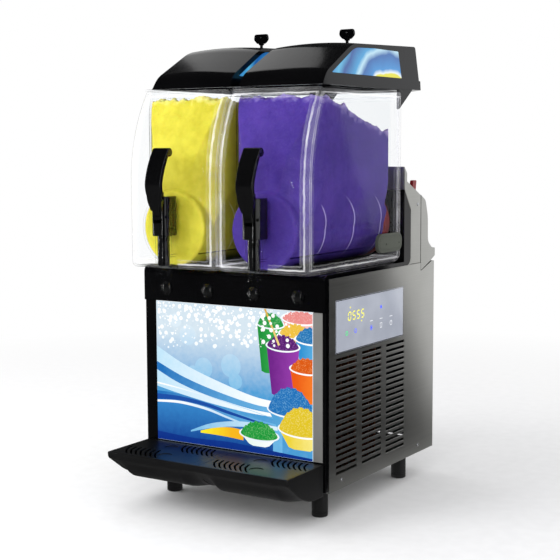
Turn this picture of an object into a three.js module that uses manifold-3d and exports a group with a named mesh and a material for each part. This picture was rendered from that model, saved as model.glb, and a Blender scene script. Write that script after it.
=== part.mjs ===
// A counter-top slushie machine with two bowls, built as separate pieces.
// Millimetres, +X right, +Y back, +Z up. The origin is on the floor, under the middle of the machine.
// Every piece is drawn in a cabinet frame, whose Y = 0 is the front edge of the side panels;
// the last group moves that frame back so that the origin is central.

import * as THREE from 'three';
import { mergeVertices } from 'three/addons/utils/BufferGeometryUtils.js';
import Module from 'manifold-3d';

const wasm = await Module();
wasm.setup();

// ---- driving dimensions ----

const GAP = 0.3; // air left between pieces that touch
const BACK = 1; // how far a cutter runs past the face that it opens

const CABINET = { half: 200, depth: 429, bottom: 52, top: 438, sheet: 2 };
const ORIGIN_Y = 148.5; // middle of the machine, from tray lip to rear cover
const FOOT = { x: 165, front: 27, rear: 343, radius: 15 };
const LOUVRE = { rows: 20, pitch: 10.9, bottom: 80, height: 5.5, width: 77, columns: [25, 122, 219] };
const CONTROL = { front: 23, rear: 291, bottom: 301, top: 398 };
const LIGHT = { half: 174, bottom: 110, top: 379.7, face: -13 };
const FASCIA = { face: -15, bottom: 380, wall: 5 };
const DECK = { top: 445.5, thick: 7, upright: 293, cheek: 321 };
const COLUMN = { seam: 367, bottom: 438.3, wall: 3, apron: 423, bend: 18 };

const BOWL = { x: 98.5, half: 96.5, bottom: 447, top: 774, front: -62, rear: 292, wall: 3 };
const VESSEL = { half: 90, top: 777, front: -50, rear: 256, wall: 2.5, rim: 778 };
const TROUGH = { z: 522.5, radius: 72, front: -58, rear: 284, nose: 5 };
const CHILLER = { radius: 56, front: -40, bore: 8, boss: 22, bossEnd: 320.5 };
const AUGER = { inner: 58, outer: 66, width: 6, pitch: 106, turns: 3, front: -49 };
const SHAFT = { radius: 6, rear: 325.5 };
const SPOUT = { y: -85, radius: 15, bore: 11.5, bottom: 438, top: 509.7 };
const TAP = { half: 17.5, front: -104, rear: -63, bottom: 510, top: 582, slot: 9.5 };
const PIVOT = { y: -97, z: 545, pin: 2.5, boss: 8, length: 12 };
const LEVER = { half: 17.5, arm: 8.7, gap: 0.8, tip: 556 };
const LID = { half: 88.5, taper: 6, bottom: 778.3, top: 865, rear: 388, wall: 3 };
const KEY = { y: 245, stem: 3, bottom: 850, neck: 876, top: 895 };
const TRAY = { half: 197, front: -137, rear: -14, bottom: 50, top: 108 };
const GRILLE = { half: 92, front: -132, rear: -18, thick: 3, x: 100 };
const LATCH = { length: 98, height: 36, thick: 8, y: 228, z: 488 };
const FAN = { x: 108, y: 150, z: 190, radius: 70 };

// ---- solids ----

function solid(geometry) {
  const bare = geometry.clone();
  bare.deleteAttribute('normal');
  bare.deleteAttribute('uv');
  const merged = mergeVertices(bare, 1e-4);
  const vertProperties = new Float32Array(merged.attributes.position.array);
  const triVerts = new Uint32Array(merged.index.array);
  return new wasm.Manifold(new wasm.Mesh({ numProp: 3, vertProperties, triVerts }));
}

function geometryOf(body) {
  const mesh = body.getMesh();
  const geometry = new THREE.BufferGeometry();
  geometry.setAttribute('position', new THREE.BufferAttribute(new Float32Array(mesh.vertProperties), 3));
  geometry.setIndex(new THREE.BufferAttribute(new Uint32Array(mesh.triVerts), 1));
  return geometry;
}

const join = (first, ...rest) => rest.reduce((sum, piece) => sum.add(piece), first);
const cut = (first, ...rest) => rest.reduce((left, tool) => left.subtract(tool), first);

function box(x, y, z) {
  const geometry = new THREE.BoxGeometry(x[1] - x[0], y[1] - y[0], z[1] - z[0]);
  geometry.translate((x[0] + x[1]) / 2, (y[0] + y[1]) / 2, (z[0] + z[1]) / 2);
  return solid(geometry);
}

// A corner is [a, b] or [a, b, setback]: a setback turns it into a smooth bend.
function outline(corners, steps = 5) {
  const points = [];
  corners.forEach((corner, i) => {
    const here = new THREE.Vector2(corner[0], corner[1]);
    if (!corner[2]) {
      points.push(here);
      return;
    }
    const before = new THREE.Vector2(...corners.at(i - 1).slice(0, 2)).sub(here);
    const after = new THREE.Vector2(...corners[(i + 1) % corners.length].slice(0, 2)).sub(here);
    const start = here.clone().add(before.setLength(corner[2]));
    const end = here.clone().add(after.setLength(corner[2]));
    points.push(...new THREE.QuadraticBezierCurve(start, here, end).getPoints(steps));
  });
  return points;
}

// Moves every side of an outline inwards by the same distance.
function inset(points, distance) {
  const turn = THREE.ShapeUtils.isClockWise(points) ? -1 : 1;
  return points.map((here, i) => {
    const before = here.clone().sub(points.at(i - 1)).normalize();
    const after = points[(i + 1) % points.length].clone().sub(here).normalize();
    const middle = before.clone().add(after).normalize();
    const inward = new THREE.Vector2(-middle.y, middle.x).multiplyScalar(turn);
    const reach = distance / Math.max(0.3, before.dot(middle));
    return here.clone().addScaledVector(inward, reach);
  });
}

// An outline of (across, up) points, pushed along one axis from the first place to the second.
function prism(axis, points, from, to) {
  const settings = { depth: to - from, bevelEnabled: false };
  const geometry = new THREE.ExtrudeGeometry(new THREE.Shape(points), settings);
  const [x, y, z] = [[1, 0, 0], [0, 1, 0], [0, 0, 1]].map((v) => new THREE.Vector3(...v));
  const frames = { x: [y, z, x], y: [x, z, y.clone().negate()], z: [x, y, z] };
  const start = { x: [from, 0, 0], y: [0, to, 0], z: [0, 0, from] };
  geometry.applyMatrix4(new THREE.Matrix4().makeBasis(...frames[axis]));
  geometry.translate(...start[axis]);
  return solid(geometry);
}

// A turned piece: (radius, place) points around an axis, closed on the axis or on themselves.
function turned(axis, profile, sides = 18) {
  const points = profile.map(([radius, place]) => new THREE.Vector2(radius, place));
  const geometry = new THREE.LatheGeometry(points, sides);
  if (axis === 'z') geometry.rotateX(Math.PI / 2);
  if (axis === 'x') geometry.rotateZ(-Math.PI / 2);
  return solid(geometry);
}

function rod(axis, radius, from, to, sides = 18) {
  return turned(axis, [[0, from], [radius, from], [radius, to], [0, to]], sides);
}

const at = (body, x, y, z) => body.translate([x, y, z]);
const both = (half) => [-half, half];

// ---- finishes ----

const FINISH = {
  stainless: { color: 0xa5a5a0, roughness: 0.35, metalness: 1 },
  grey: { color: 0x8f8f8a, roughness: 0.4, metalness: 0.6 },
  black: { color: 0x0a0a0b, roughness: 0.15, metalness: 0 },
  matt: { color: 0x161617, roughness: 0.55, metalness: 0 },
  clear: { color: 0xe8eef0, roughness: 0.05, metalness: 0, transparent: true, opacity: 0.3 },
  panel: { color: 0x3d7fc4, roughness: 0.2, metalness: 0 },
  control: { color: 0xb9bec8, roughness: 0.12, metalness: 0 },
  yellow: { color: 0xe8e03c, roughness: 0.6, metalness: 0 },
  purple: { color: 0x47298a, roughness: 0.6, metalness: 0 },
  olive: { color: 0x5f6455, roughness: 0.5, metalness: 0 },
  red: { color: 0x5a0a0f, roughness: 0.4, metalness: 0 },
  steel: { color: 0xb4b6b8, roughness: 0.3, metalness: 1 },
  copper: { color: 0xb87d55, roughness: 0.35, metalness: 1 },
  rubber: { color: 0x9a4a4a, roughness: 0.7, metalness: 0 },
};

const machine = new THREE.Group();
machine.position.y = -ORIGIN_Y;

function add(name, finish, body, x = 0, y = 0, z = 0) {
  const mesh = new THREE.Mesh(geometryOf(body), new THREE.MeshStandardMaterial(FINISH[finish]));
  mesh.name = name;
  mesh.position.set(x, y, z);
  machine.add(mesh);
}

const SIDES = { left: -1, right: 1 };

// ---- cabinet ----

function basePan() {
  const { half, depth, bottom, sheet } = CABINET;
  const x = half - sheet - GAP;
  const flange = 14;
  const block = box(both(x), [GAP, depth - 3], [bottom, bottom + flange]);
  const tray = [bottom + sheet, bottom + flange + BACK];
  const inside = box(both(x - sheet), [GAP + sheet, depth - 3 - sheet], tray);
  return cut(block, inside);
}

function foot() {
  const { radius } = FOOT;
  const top = CABINET.bottom - GAP;
  return turned('z', [[0, 0], [radius - 2.5, 0], [radius, 2.5], [radius, top], [0, top]], 24);
}

function louvreSlots(x) {
  const slots = [];
  for (const start of LOUVRE.columns) {
    for (let row = 0; row < LOUVRE.rows; row += 1) {
      const z = LOUVRE.bottom + row * LOUVRE.pitch;
      slots.push(box(x, [start, start + LOUVRE.width], [z, z + LOUVRE.height]));
    }
  }
  return slots;
}

function sidePanel(side, window) {
  const { half, depth, bottom, top, sheet } = CABINET;
  const x = [side * half, side * (half - sheet)].sort((a, b) => a - b);
  const through = [x[0] - BACK, x[1] + BACK];
  const { seam, apron } = COLUMN;
  const notch = [[seam + 51, top], [seam + 5, apron - GAP], [seam - 0.5, apron - GAP], [seam - 0.5, top]];
  const shape = outline([[0, bottom], [depth, bottom], [depth, top], ...notch, [0, top]]);
  const sheetBody = prism('x', shape, ...x);
  const tools = louvreSlots(through);
  if (window) tools.push(box(through, [CONTROL.front, CONTROL.rear], [CONTROL.bottom, CONTROL.top]));
  return cut(sheetBody, ...tools);
}

function controlPanel() {
  const { half, sheet } = CABINET;
  const y = [CONTROL.front + GAP, CONTROL.rear - GAP];
  const z = [CONTROL.bottom + GAP, CONTROL.top - GAP];
  const glass = box([half - sheet - 1, half], y, z);
  const boardHousing = box([half - 14, half - sheet - 0.5], [y[0] + 15, y[1] - 15], [z[0] + 8, z[1] - 8]);
  return join(glass, boardHousing);
}

const INLET = { x: -130, z: 100, half: 38, tall: 17, front: 404, lip: 3, socket: -18, well: 20 };
const ROCKER = { y: 427, half: 9, tall: 12, tilt: 8 };

function rearPanel() {
  const { half, depth, bottom, top, sheet } = CABINET;
  const x = half - sheet - GAP;
  const y = [depth - sheet - 0.5, depth - 0.5];
  const through = [y[0] - BACK, y[1] + BACK];
  const vent = { rows: 10, pitch: 20, bottom: 165, height: 8, width: 130 };
  const tools = [];
  for (const start of [-150, 20]) {
    for (let row = 0; row < vent.rows; row += 1) {
      const z = vent.bottom + row * vent.pitch;
      tools.push(box([start, start + vent.width], through, [z, z + vent.height]));
    }
  }
  const w = INLET.half + GAP;
  const h = INLET.tall + GAP;
  tools.push(box([INLET.x - w, INLET.x + w], through, [INLET.z - h, INLET.z + h]));
  return cut(box(both(x), y, [bottom + 16, top]), ...tools);
}

// One moulded module in the rear panel: a mains socket with its pins, and a well for the rocker.
function powerInlet() {
  const { half, tall, front, lip, socket, well } = INLET;
  const rear = CABINET.depth + 2;
  const body = box(both(half), [front, CABINET.depth], both(tall));
  const flange = box(both(half + lip), [CABINET.depth - 0.5 + GAP, rear], both(tall + lip));
  const recess = box([socket - 13, socket + 13], [front + 8, rear + BACK], both(10));
  const rockerWell = box([well - 11, well + 11], [front + 6, rear + BACK], both(14));
  const pins = [-7, 0, 7].map((x) => {
    const place = socket + x;
    return box([place - 1, place + 1], [front + 7, rear - 10], both(2.5));
  });
  return join(cut(join(body, flange), recess, rockerWell), ...pins);
}

function powerRocker() {
  const { half, tall, tilt } = ROCKER;
  const side = outline([[-7, 4 - tall], [4.5, -tall], [2, 0], [4.5, tall], [-7, tall - 4]]);
  return prism('x', side, -half, half).rotate([-tilt, 0, 0]);
}

function frontFrame() {
  const { half } = CABINET;
  const frame = box(both(half - GAP), [LIGHT.face + 1, -GAP], [CABINET.bottom + 4, LIGHT.top]);
  const window = box(both(LIGHT.half + GAP), [-20, 5], [LIGHT.bottom, LIGHT.top + BACK]);
  return cut(frame, window);
}

function lightPanel() {
  return box(both(LIGHT.half), [LIGHT.face, LIGHT.face + 3], [LIGHT.bottom + GAP, LIGHT.top - GAP]);
}

// An open tray behind the light panel, with a ladder of lamp strips on its floor.
function lightBox() {
  const half = LIGHT.half - 3;
  const z = [LIGHT.bottom + 3, LIGHT.top - 4];
  const front = LIGHT.face + 3 + GAP;
  const rear = 16;
  const wall = 2;
  const hollow = box(both(half - wall), [front - BACK, rear - wall], [z[0] + wall, z[1] - wall]);
  const tray = cut(box(both(half), [front, rear], z), hollow);
  const deep = [rear - wall - 4, rear - 1];
  const strips = [-105, -35, 35, 105].map((x) => box([x - 6, x + 6], deep, [z[0] + 1, z[1] - 1]));
  return join(tray, ...strips);
}

// ---- deck, with its fascia in front and its upright behind the bowls ----

function bowlDeck() {
  const { half } = CABINET;
  const under = DECK.top - DECK.thick;
  const { face, bottom, wall } = FASCIA;
  const side = outline([
    [face, bottom], [face, DECK.top, 13], [DECK.upright, DECK.top], [DECK.upright, 586],
    [DECK.upright + 4, 580], [DECK.upright + 4, under], [face + wall, under], [face + wall, bottom],
  ]);
  const cheek = outline([
    [DECK.upright, under], [DECK.cheek, under, COLUMN.bend], [DECK.cheek, 546, 20], [DECK.upright, 586],
  ]);
  const pieces = [];
  for (const sign of [-1, 1]) {
    const x = [sign * half, sign * (half - 4)].sort((a, b) => a - b);
    pieces.push(prism('x', cheek, ...x));
    pieces.push(box(x, [face + 1, -GAP], [bottom, under + 1]));
  }
  for (const x of [-146, -51, 51, 146]) {
    pieces.push(at(turned('y', [[0, -4], [9, -3.5], [13, 0], [13, 3], [0, 3]], 14), x, face, 405));
  }
  const hole = rod('y', CHILLER.boss + 1, -10, 20);
  const holes = [-BOWL.x, BOWL.x].map((x) => at(hole, x, DECK.upright, TROUGH.z));
  return cut(join(prism('x', side, -half, half), ...pieces), ...holes);
}

// ---- column behind the bowls ----

// The corner of the column that the deck's bent cheek leaves free.
function columnHeel() {
  const { bottom, bend } = COLUMN;
  const corner = new THREE.Vector2(DECK.cheek + 0.6, bottom);
  const start = corner.clone().add(new THREE.Vector2(-bend, 0));
  const end = corner.clone().add(new THREE.Vector2(0, bend));
  const behind = [[corner.x + 1, end.y], [corner.x + 1, bottom]].map(([y, z]) => new THREE.Vector2(y, z));
  return [...new THREE.QuadraticBezierCurve(start, corner, end).getPoints(5), ...behind];
}

const COLUMN_FRONT = [
  [DECK.cheek + 0.4, COLUMN.bottom], [DECK.cheek + 0.4, 546.6], [DECK.upright + 0.4, 587.5], [293.4, 631],
  [305, 619], [305, 603], [343, 585, 6], [COLUMN.seam - GAP, 574], [COLUMN.seam - GAP, COLUMN.bottom],
];
const COLUMN_REAR = [
  [COLUMN.seam + GAP, COLUMN.bottom], [COLUMN.seam + GAP, 574], [389, 563, 6], [400, 530, 12], [401, 480, 8],
  [419, 466, 6], [434, 464], [434, 448], [416, 439.5],
];
const APRON = [
  [COLUMN.seam + GAP, COLUMN.apron], [COLUMN.seam + GAP, 444], [420, 444], [416, 438.8],
  [COLUMN.seam + 5, COLUMN.apron],
];
const ADJUSTER = { x: 170, y: 384, z: 544, tip: 602, slot: 9 };

// One half of the column: a bent sheet with closed sides.
function columnShell(corners) {
  const { half } = CABINET;
  const { wall } = COLUMN;
  const points = outline(corners);
  return cut(prism('x', points, -half, half), prism('x', inset(points, wall), wall - half, half - wall));
}

function motorColumn() {
  const { half } = CABINET;
  const seam = box(both(half - 12), [COLUMN.seam - 8, COLUMN.seam + 5], [COLUMN.bottom + 6, 562]);
  const under = [COLUMN.bottom - BACK, COLUMN.bottom + 6];
  const floor = box(both(half - 12), [DECK.cheek + 6, COLUMN.seam - 6], under);
  const front = box(both(half - 12), [DECK.cheek - BACK, DECK.cheek + 6], [COLUMN.bottom + 6, 540]);
  const heels = [[-half, 4 - half], [half - 4, half]].map((x) => prism('x', columnHeel(), ...x));
  return join(cut(columnShell(COLUMN_FRONT), seam, floor, front), ...heels);
}

function columnRearCover() {
  const { half } = CABINET;
  const seam = box(both(half - 12), [COLUMN.seam - 5, COLUMN.seam + 8], [COLUMN.bottom + 6, 562]);
  const { x, y, slot } = ADJUSTER;
  const slots = [-x, x].map((place) => box([place - 5, place + 5], [y - slot, y + slot], [545, 575]));
  const aprons = [[-half, 4 - half], [half - 4, half]].map((span) => prism('x', outline(APRON), ...span));
  return join(cut(columnShell(COLUMN_REAR), seam, ...slots), ...aprons);
}

function thicknessAdjuster() {
  const { z, tip } = ADJUSTER;
  const stem = box(both(2), both(4), [0, 30]);
  const tab = prism('x', outline([[-4, 28], [0, tip - z, 4], [16, tip - z, 4], [10, 28]]), -3.5, 3.5);
  return join(stem, tab, rod('x', 6, -3, 3));
}

function gearmotor() {
  const gearbox = box(both(32), [326, 358], both(36));
  const motor = rod('y', 25, 357, 388);
  return join(gearbox, motor);
}

// ---- refrigeration ----

function compressor() {
  const plate = box(both(75), both(60), [0, 4]);
  const can = turned('z', [[0, 3], [50, 3], [58, 20], [58, 105], [48, 135], [20, 150], [0, 150]]);
  const pipes = [-30, 30].map((x) => at(rod('z', 5, 120, 168, 10), x, 0, 0));
  return join(plate, can, ...pipes);
}

function condenser() {
  const fins = [];
  const fin = { count: 8, pitch: 27, thick: 3 };
  for (let i = 0; i < fin.count; i += 1) {
    const y = 50 + i * fin.pitch;
    fins.push(box([130, 165], [y, y + fin.thick], [70, 300]));
  }
  const tubes = [110, 185, 260].map((z) => at(rod('y', 5, 45, 247, 6), 147, 0, z));
  return join(fins[0], ...tubes, ...fins.slice(1));
}

function fanMotor() {
  const can = at(rod('x', 28, FAN.x - 62, FAN.x - 16), 0, FAN.y, FAN.z);
  const post = box([FAN.x - 50, FAN.x - 30], [FAN.y - 12, FAN.y + 12], [CABINET.bottom + 2.5, FAN.z]);
  const foot = [CABINET.bottom + 2.5, CABINET.bottom + 6];
  const plate = box([FAN.x - 60, FAN.x - 20], [FAN.y - 30, FAN.y + 30], foot);
  return join(can, post, plate);
}

function fanBlade() {
  const blades = [];
  for (let i = 0; i < 5; i += 1) {
    const blade = box(both(1.5), both(17), [12, FAN.radius]).rotate([0, 0, 28]);
    blades.push(blade.rotate([i * 72, 0, 0]));
  }
  return join(rod('x', 18, -9, 9), ...blades);
}

// ---- bowls ----

const JACKET_SIDE = [
  [BOWL.front, BOWL.bottom, 13], [BOWL.front - 0.5, 691, 88], [-11, BOWL.top], [BOWL.rear, BOWL.top],
  [BOWL.rear, BOWL.bottom, 20],
];

function bowlJacket() {
  const points = outline(JACKET_SIDE);
  const inner = inset(points, BOWL.wall);
  const { half, wall } = BOWL;
  const mouth = box(both(half - wall), [4 - 11, BOWL.rear - wall], [BOWL.top - 8, BOWL.top + BACK]);
  const rearHole = at(rod('y', TROUGH.radius + 1, 262, 300, 28), 0, 0, TROUGH.z);
  const spoutHole = box(both(13), [BOWL.front - 5, BOWL.front + 8], [451, 476]);
  const hollow = prism('x', inner, wall - half, half - wall);
  return cut(prism('x', points, -half, half), hollow, mouth, rearHole, spoutHole);
}

// The space that the vessel fills, drawn in by an inset; its top and rear stay where they are asked for.
function vesselForm(by, top, troughRear) {
  const { half, front, rear } = VESSEL;
  const side = outline([
    [front + by, 500], [front - 0.5 + by, 691, 86], [-1 + by, VESSEL.top], [-1 + by, top], [rear - by, top],
    [rear - by, 562], [Math.min(TROUGH.rear, troughRear), 548], [Math.min(TROUGH.rear, troughRear), 500],
  ], 4);
  const cross = outline([
    [by - TROUGH.radius, TROUGH.z], [by - half, 590, 20], [by - half, top], [half - by, top],
    [half - by, 590, 20],
    [TROUGH.radius - by, TROUGH.z],
  ], 2);
  const plan = outline([
    [by - half, 300], [by - half, by + front - 2, 78], [half - by, by + front - 2, 78], [half - by, 300],
  ], 5);
  const chamber = prism('x', side, -100, 100)
    .intersect(prism('y', cross, -100, 300))
    .intersect(prism('z', plan, 500, top + 10));
  const radius = TROUGH.radius - by;
  const nose = TROUGH.front + by;
  const bend = [[radius - TROUGH.nose, nose], [radius, nose + TROUGH.nose]];
  const profile = [[0, nose], ...bend, [radius, troughRear]];
  const trough = at(turned('y', [...profile, [0, troughRear]], 28), 0, 0, TROUGH.z);
  return chamber.add(trough);
}

function bowlVessel() {
  const rim = box(both(BOWL.half), [-11, BOWL.rear], [BOWL.top + GAP, VESSEL.rim]);
  const spout = at(rod('z', SPOUT.radius, SPOUT.bottom, SPOUT.top), 0, SPOUT.y, 0);
  const duct = box(both(11), [SPOUT.y, TROUGH.front + 2], [452, 474]);
  const body = join(vesselForm(0, VESSEL.top, TROUGH.rear), rim, spout, duct);
  const bore = at(rod('z', SPOUT.bore, SPOUT.bottom - BACK, SPOUT.top + BACK), 0, SPOUT.y, 0);
  const channel = box(both(8), [SPOUT.y, TROUGH.front + 12], [456, 470]);
  return cut(body, vesselForm(VESSEL.wall, VESSEL.rim + BACK, TROUGH.rear + BACK), bore, channel);
}

const SLUSH_TOP = [[-70, 761], [45, 755, 25], [105, 744, 25], [205, 699, 30], [270, 703]];

function slush() {
  const form = vesselForm(VESSEL.wall + 0.4, VESSEL.top, 271);
  const above = prism('x', outline([...SLUSH_TOP, [300, 800], [-90, 800]]), -120, 120);
  const augerRoom = at(rod('y', AUGER.outer + 1.2, TROUGH.front, 300, 24), 0, 0, TROUGH.z);
  return cut(form, above, augerRoom);
}

function bowlGasket() {
  const { radius } = CHILLER;
  const profile = [
    [radius + 0.4, 274], [radius + 8, 274], [radius + 13, 279], [radius + 13, DECK.upright - GAP],
    [radius + 0.4, DECK.upright - GAP], [radius + 0.4, 274],
  ];
  return at(turned('y', profile, 24), 0, 0, TROUGH.z);
}

// A flat plate with round ends on the outer side of a bowl; side is -1 or 1.
function bowlLatch(side) {
  const [y, z] = [LATCH.length / 2, LATCH.height / 2];
  const shape = outline([[-y, -z, z], [-y, z, z], [y, z, z], [y, -z, z]], 4);
  const near = BOWL.x + BOWL.half + GAP;
  const x = [side * near, side * (near + LATCH.thick)].sort((a, b) => a - b);
  const holes = [-17, 36].map((place) => at(rod('x', 1.6, x[0] - BACK, x[1] + BACK, 8), 0, place, -2));
  return at(cut(prism('x', shape, ...x), ...holes), 0, LATCH.y, LATCH.z);
}

// ---- chillers and augers ----

function evaporator() {
  const { radius, front, bore, boss, bossEnd } = CHILLER;
  const profile = [
    [bore, front], [radius - 8, front], [radius, front + 6], [radius, DECK.upright - GAP],
    [boss, DECK.upright - GAP], [boss, bossEnd], [bore, bossEnd], [bore, front],
  ];
  return turned('y', profile, 24);
}

// A flat ribbon wound round the Y axis, from its front end back.
function ribbon({ inner, outer, width, pitch, turns, front }, stepsPerTurn) {
  const steps = turns * stepsPerTurn;
  const section = [[inner, -width / 2], [outer, -width / 2], [outer, width / 2], [inner, width / 2]];
  const position = [];
  const index = [];
  for (let i = 0; i <= steps; i += 1) {
    const angle = (2 * Math.PI * i) / stepsPerTurn;
    for (const [radius, along] of section) {
      const place = front + along + (pitch * i) / stepsPerTurn;
      position.push(radius * Math.cos(angle), place, -radius * Math.sin(angle));
    }
  }
  for (let i = 0; i < steps; i += 1) {
    for (let k = 0; k < 4; k += 1) {
      const [a, b] = [4 * i + k, 4 * i + ((k + 1) % 4)];
      index.push(a, b + 4, b, a, a + 4, b + 4);
    }
  }
  const end = 4 * steps;
  index.push(0, 1, 2, 0, 2, 3, end, end + 2, end + 1, end, end + 3, end + 2);
  const geometry = new THREE.BufferGeometry();
  geometry.setAttribute('position', new THREE.Float32BufferAttribute(position, 3));
  geometry.setIndex(index);
  return solid(geometry);
}

function auger() {
  const { front, outer } = AUGER;
  const hub = rod('y', 15, front - 4, front + 4);
  const bar = box(both(outer - 2), [front - 3, front + 3], both(7));
  return join(ribbon(AUGER, 16), hub, bar);
}

// ---- taps ----

function tapHousing() {
  const { half, front, rear, bottom, top, slot } = TAP;
  const shape = outline([[-half, rear, 9], [half, rear, 9], [half, front, 16], [-half, front, 16]], 4);
  const block = prism('z', shape, bottom, top);
  const well = box(both(slot), [-92, -70], [bottom + 2, top - 4]);
  const mouth = box(both(slot), [front - BACK, -91], [PIVOT.z - 11, top + BACK]);
  const throat = at(rod('z', SPOUT.bore + 0.5, bottom - BACK, bottom + 15), 0, SPOUT.y, 0);
  const pinHole = at(rod('x', PIVOT.pin + GAP, -30, 30, 16), 0, PIVOT.y, PIVOT.z);
  return cut(block, well, mouth, throat, pinHole);
}

function tapPiston() {
  const profile = [
    [0, 455], [9.2, 455], [11, 458], [11, 505], [4, 505], [4, 548], [7.5, 548], [7.5, 552], [4, 552],
    [4, 556], [0, 556],
  ];
  return turned('z', profile, 14);
}

const SPRING = { bottom: 552.8, top: 577.2, radius: 6, wire: 0.6, turns: 3 };

function tapSpring() {
  const { bottom, top, radius, wire, turns } = SPRING;
  const perTurn = 8;
  const points = [];
  for (let i = 0; i <= turns * perTurn; i += 1) {
    const angle = (2 * Math.PI * i) / perTurn;
    const z = THREE.MathUtils.lerp(bottom + wire, top - wire, i / (turns * perTurn));
    points.push(new THREE.Vector3(radius * Math.cos(angle), radius * Math.sin(angle), z));
  }
  const circle = new THREE.Path().absarc(0, 0, wire, 0, 2 * Math.PI);
  const section = new THREE.Shape(circle.getPoints(3).slice(0, -1));
  const extrudePath = new THREE.CatmullRomCurve3(points);
  const settings = { extrudePath, steps: turns * perTurn, bevelEnabled: false };
  return solid(new THREE.ExtrudeGeometry(section, settings));
}

// A curved grip on a narrow arm that turns on the pin. Below the grip, a tapered apron covers the
// front of the housing; a forked finger reaches back under the piston's collar.
function tapLever() {
  const { half, arm, gap, tip } = LEVER;
  const grip = outline([
    [-113, 584], [-118.5, 602, 12], [-109, 638, 16], [-91, 668, 4], [-84, 663], [-100, 634, 16],
    [-109.5, 602, 12], [-105.5, 584],
  ], 4);
  const apronSide = outline([
    [-113, 590], [-112, 574, 6], [TAP.front - gap - 0.7, tip], [TAP.front - gap, tip],
    [TAP.front - gap, 590],
  ], 3);
  const apronFront = outline([
    [-half, 592], [-half, 580, 6], [-12, tip - 2], [12, tip - 2], [half, 580, 6], [half, 592],
  ], 3);
  const apron = prism('x', apronSide, -half, half).intersect(prism('y', apronFront, -130, -90));
  const stalk = outline([
    [-104, 545], [-111, 574, 8], [-112, 596], [-107, 592], [-98, 576, 6], [-90.5, 566], [-90.5, 541],
    [-97, 541],
  ], 4);
  const finger = box(both(arm), [-96, -77], [541, 547.5]);
  const fork = box(both(4.8), [-92, -70], [530, 570]);
  const collarRoom = at(rod('z', 8.2, 547.7, 572), 0, SPOUT.y, 0);
  const roll = at(rod('x', 8, -half, half, 16), 0, -86, 661);
  const boss = at(rod('x', PIVOT.boss, -arm, arm, 20), 0, PIVOT.y, PIVOT.z);
  const bore = at(rod('x', PIVOT.pin + 0.4, -30, 30, 16), 0, PIVOT.y, PIVOT.z);
  const upper = join(prism('x', grip, -half, half), roll, apron);
  return cut(join(upper, prism('x', stalk, -arm, arm), boss, finger), fork, collarRoom, bore);
}

function leverPin() {
  return at(rod('x', PIVOT.pin, -PIVOT.length, PIVOT.length, 16), 0, PIVOT.y, PIVOT.z);
}

// ---- lids ----

const LID_SIDE = [
  [0, LID.bottom], [16, 801, 12], [117, 855.5, 22], [372, LID.top, 6], [LID.rear - 6, 799],
  [LID.rear, 799], [LID.rear, 781], [292, 781], [292, LID.bottom],
];
const WINDOW_SIDE = [[34, 800], [124, 849, 16], [200, 852], [297, 852], [306, 801]];
const GUSSET_SIDE = [[296, 783], [359, 783], [350, 776], [300, 742], [296, 742]];

function lidTaper(by) {
  const low = LID.half - by;
  const high = low - LID.taper;
  return outline([
    [-low, 700], [-low, LID.bottom], [-high, LID.top + 1], [high, LID.top + 1], [low, LID.bottom], [low, 700],
  ]);
}

function lidForm(by) {
  const points = by ? inset(outline(LID_SIDE, 4), by) : outline(LID_SIDE, 4);
  return prism('x', points, -LID.half, LID.half).intersect(prism('y', lidTaper(by), -20, 400));
}

function lid() {
  const { half, wall, bottom } = LID;
  const mouth = box(both(half - wall), [6, 288], [bottom - BACK, bottom + 8]);
  const windows = prism('x', outline(WINDOW_SIDE), -half - BACK, half + BACK);
  const keyHole = at(rod('z', KEY.stem + 0.5, KEY.bottom - 12, KEY.neck, 16), 0, KEY.y, 0);
  const gusset = outline(GUSSET_SIDE);
  const gussets = [[3 - half, 7 - half], [half - 7, half - 3]].map((x) => prism('x', gusset, ...x));
  return join(cut(lidForm(0), lidForm(wall), mouth, windows, keyHole), ...gussets);
}

// Both side windows of one lid and the lamp bar between them, moulded as one light guide.
function lidLight() {
  const pane = prism('x', inset(outline(WINDOW_SIDE), GAP), -LID.half, LID.half).intersect(lidForm(0));
  const inside = prism('y', lidTaper(LID.wall), -30, 410);
  const bar = box(both(LID.half - 5.5), [195, 235], [822, 834]);
  return join(cut(pane, inside), bar);
}

function lidKey() {
  const head = outline([[-13, KEY.neck, 3], [-17, KEY.top, 5], [17, KEY.top, 5], [13, KEY.neck, 3]]);
  const hole = at(rod('y', 1.8, -5, 5, 10), 0, 0, KEY.top - 6);
  return join(cut(prism('y', head, -3, 3), hole), rod('z', KEY.stem, KEY.bottom, KEY.neck + 1, 16));
}

// ---- drip tray ----

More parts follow.
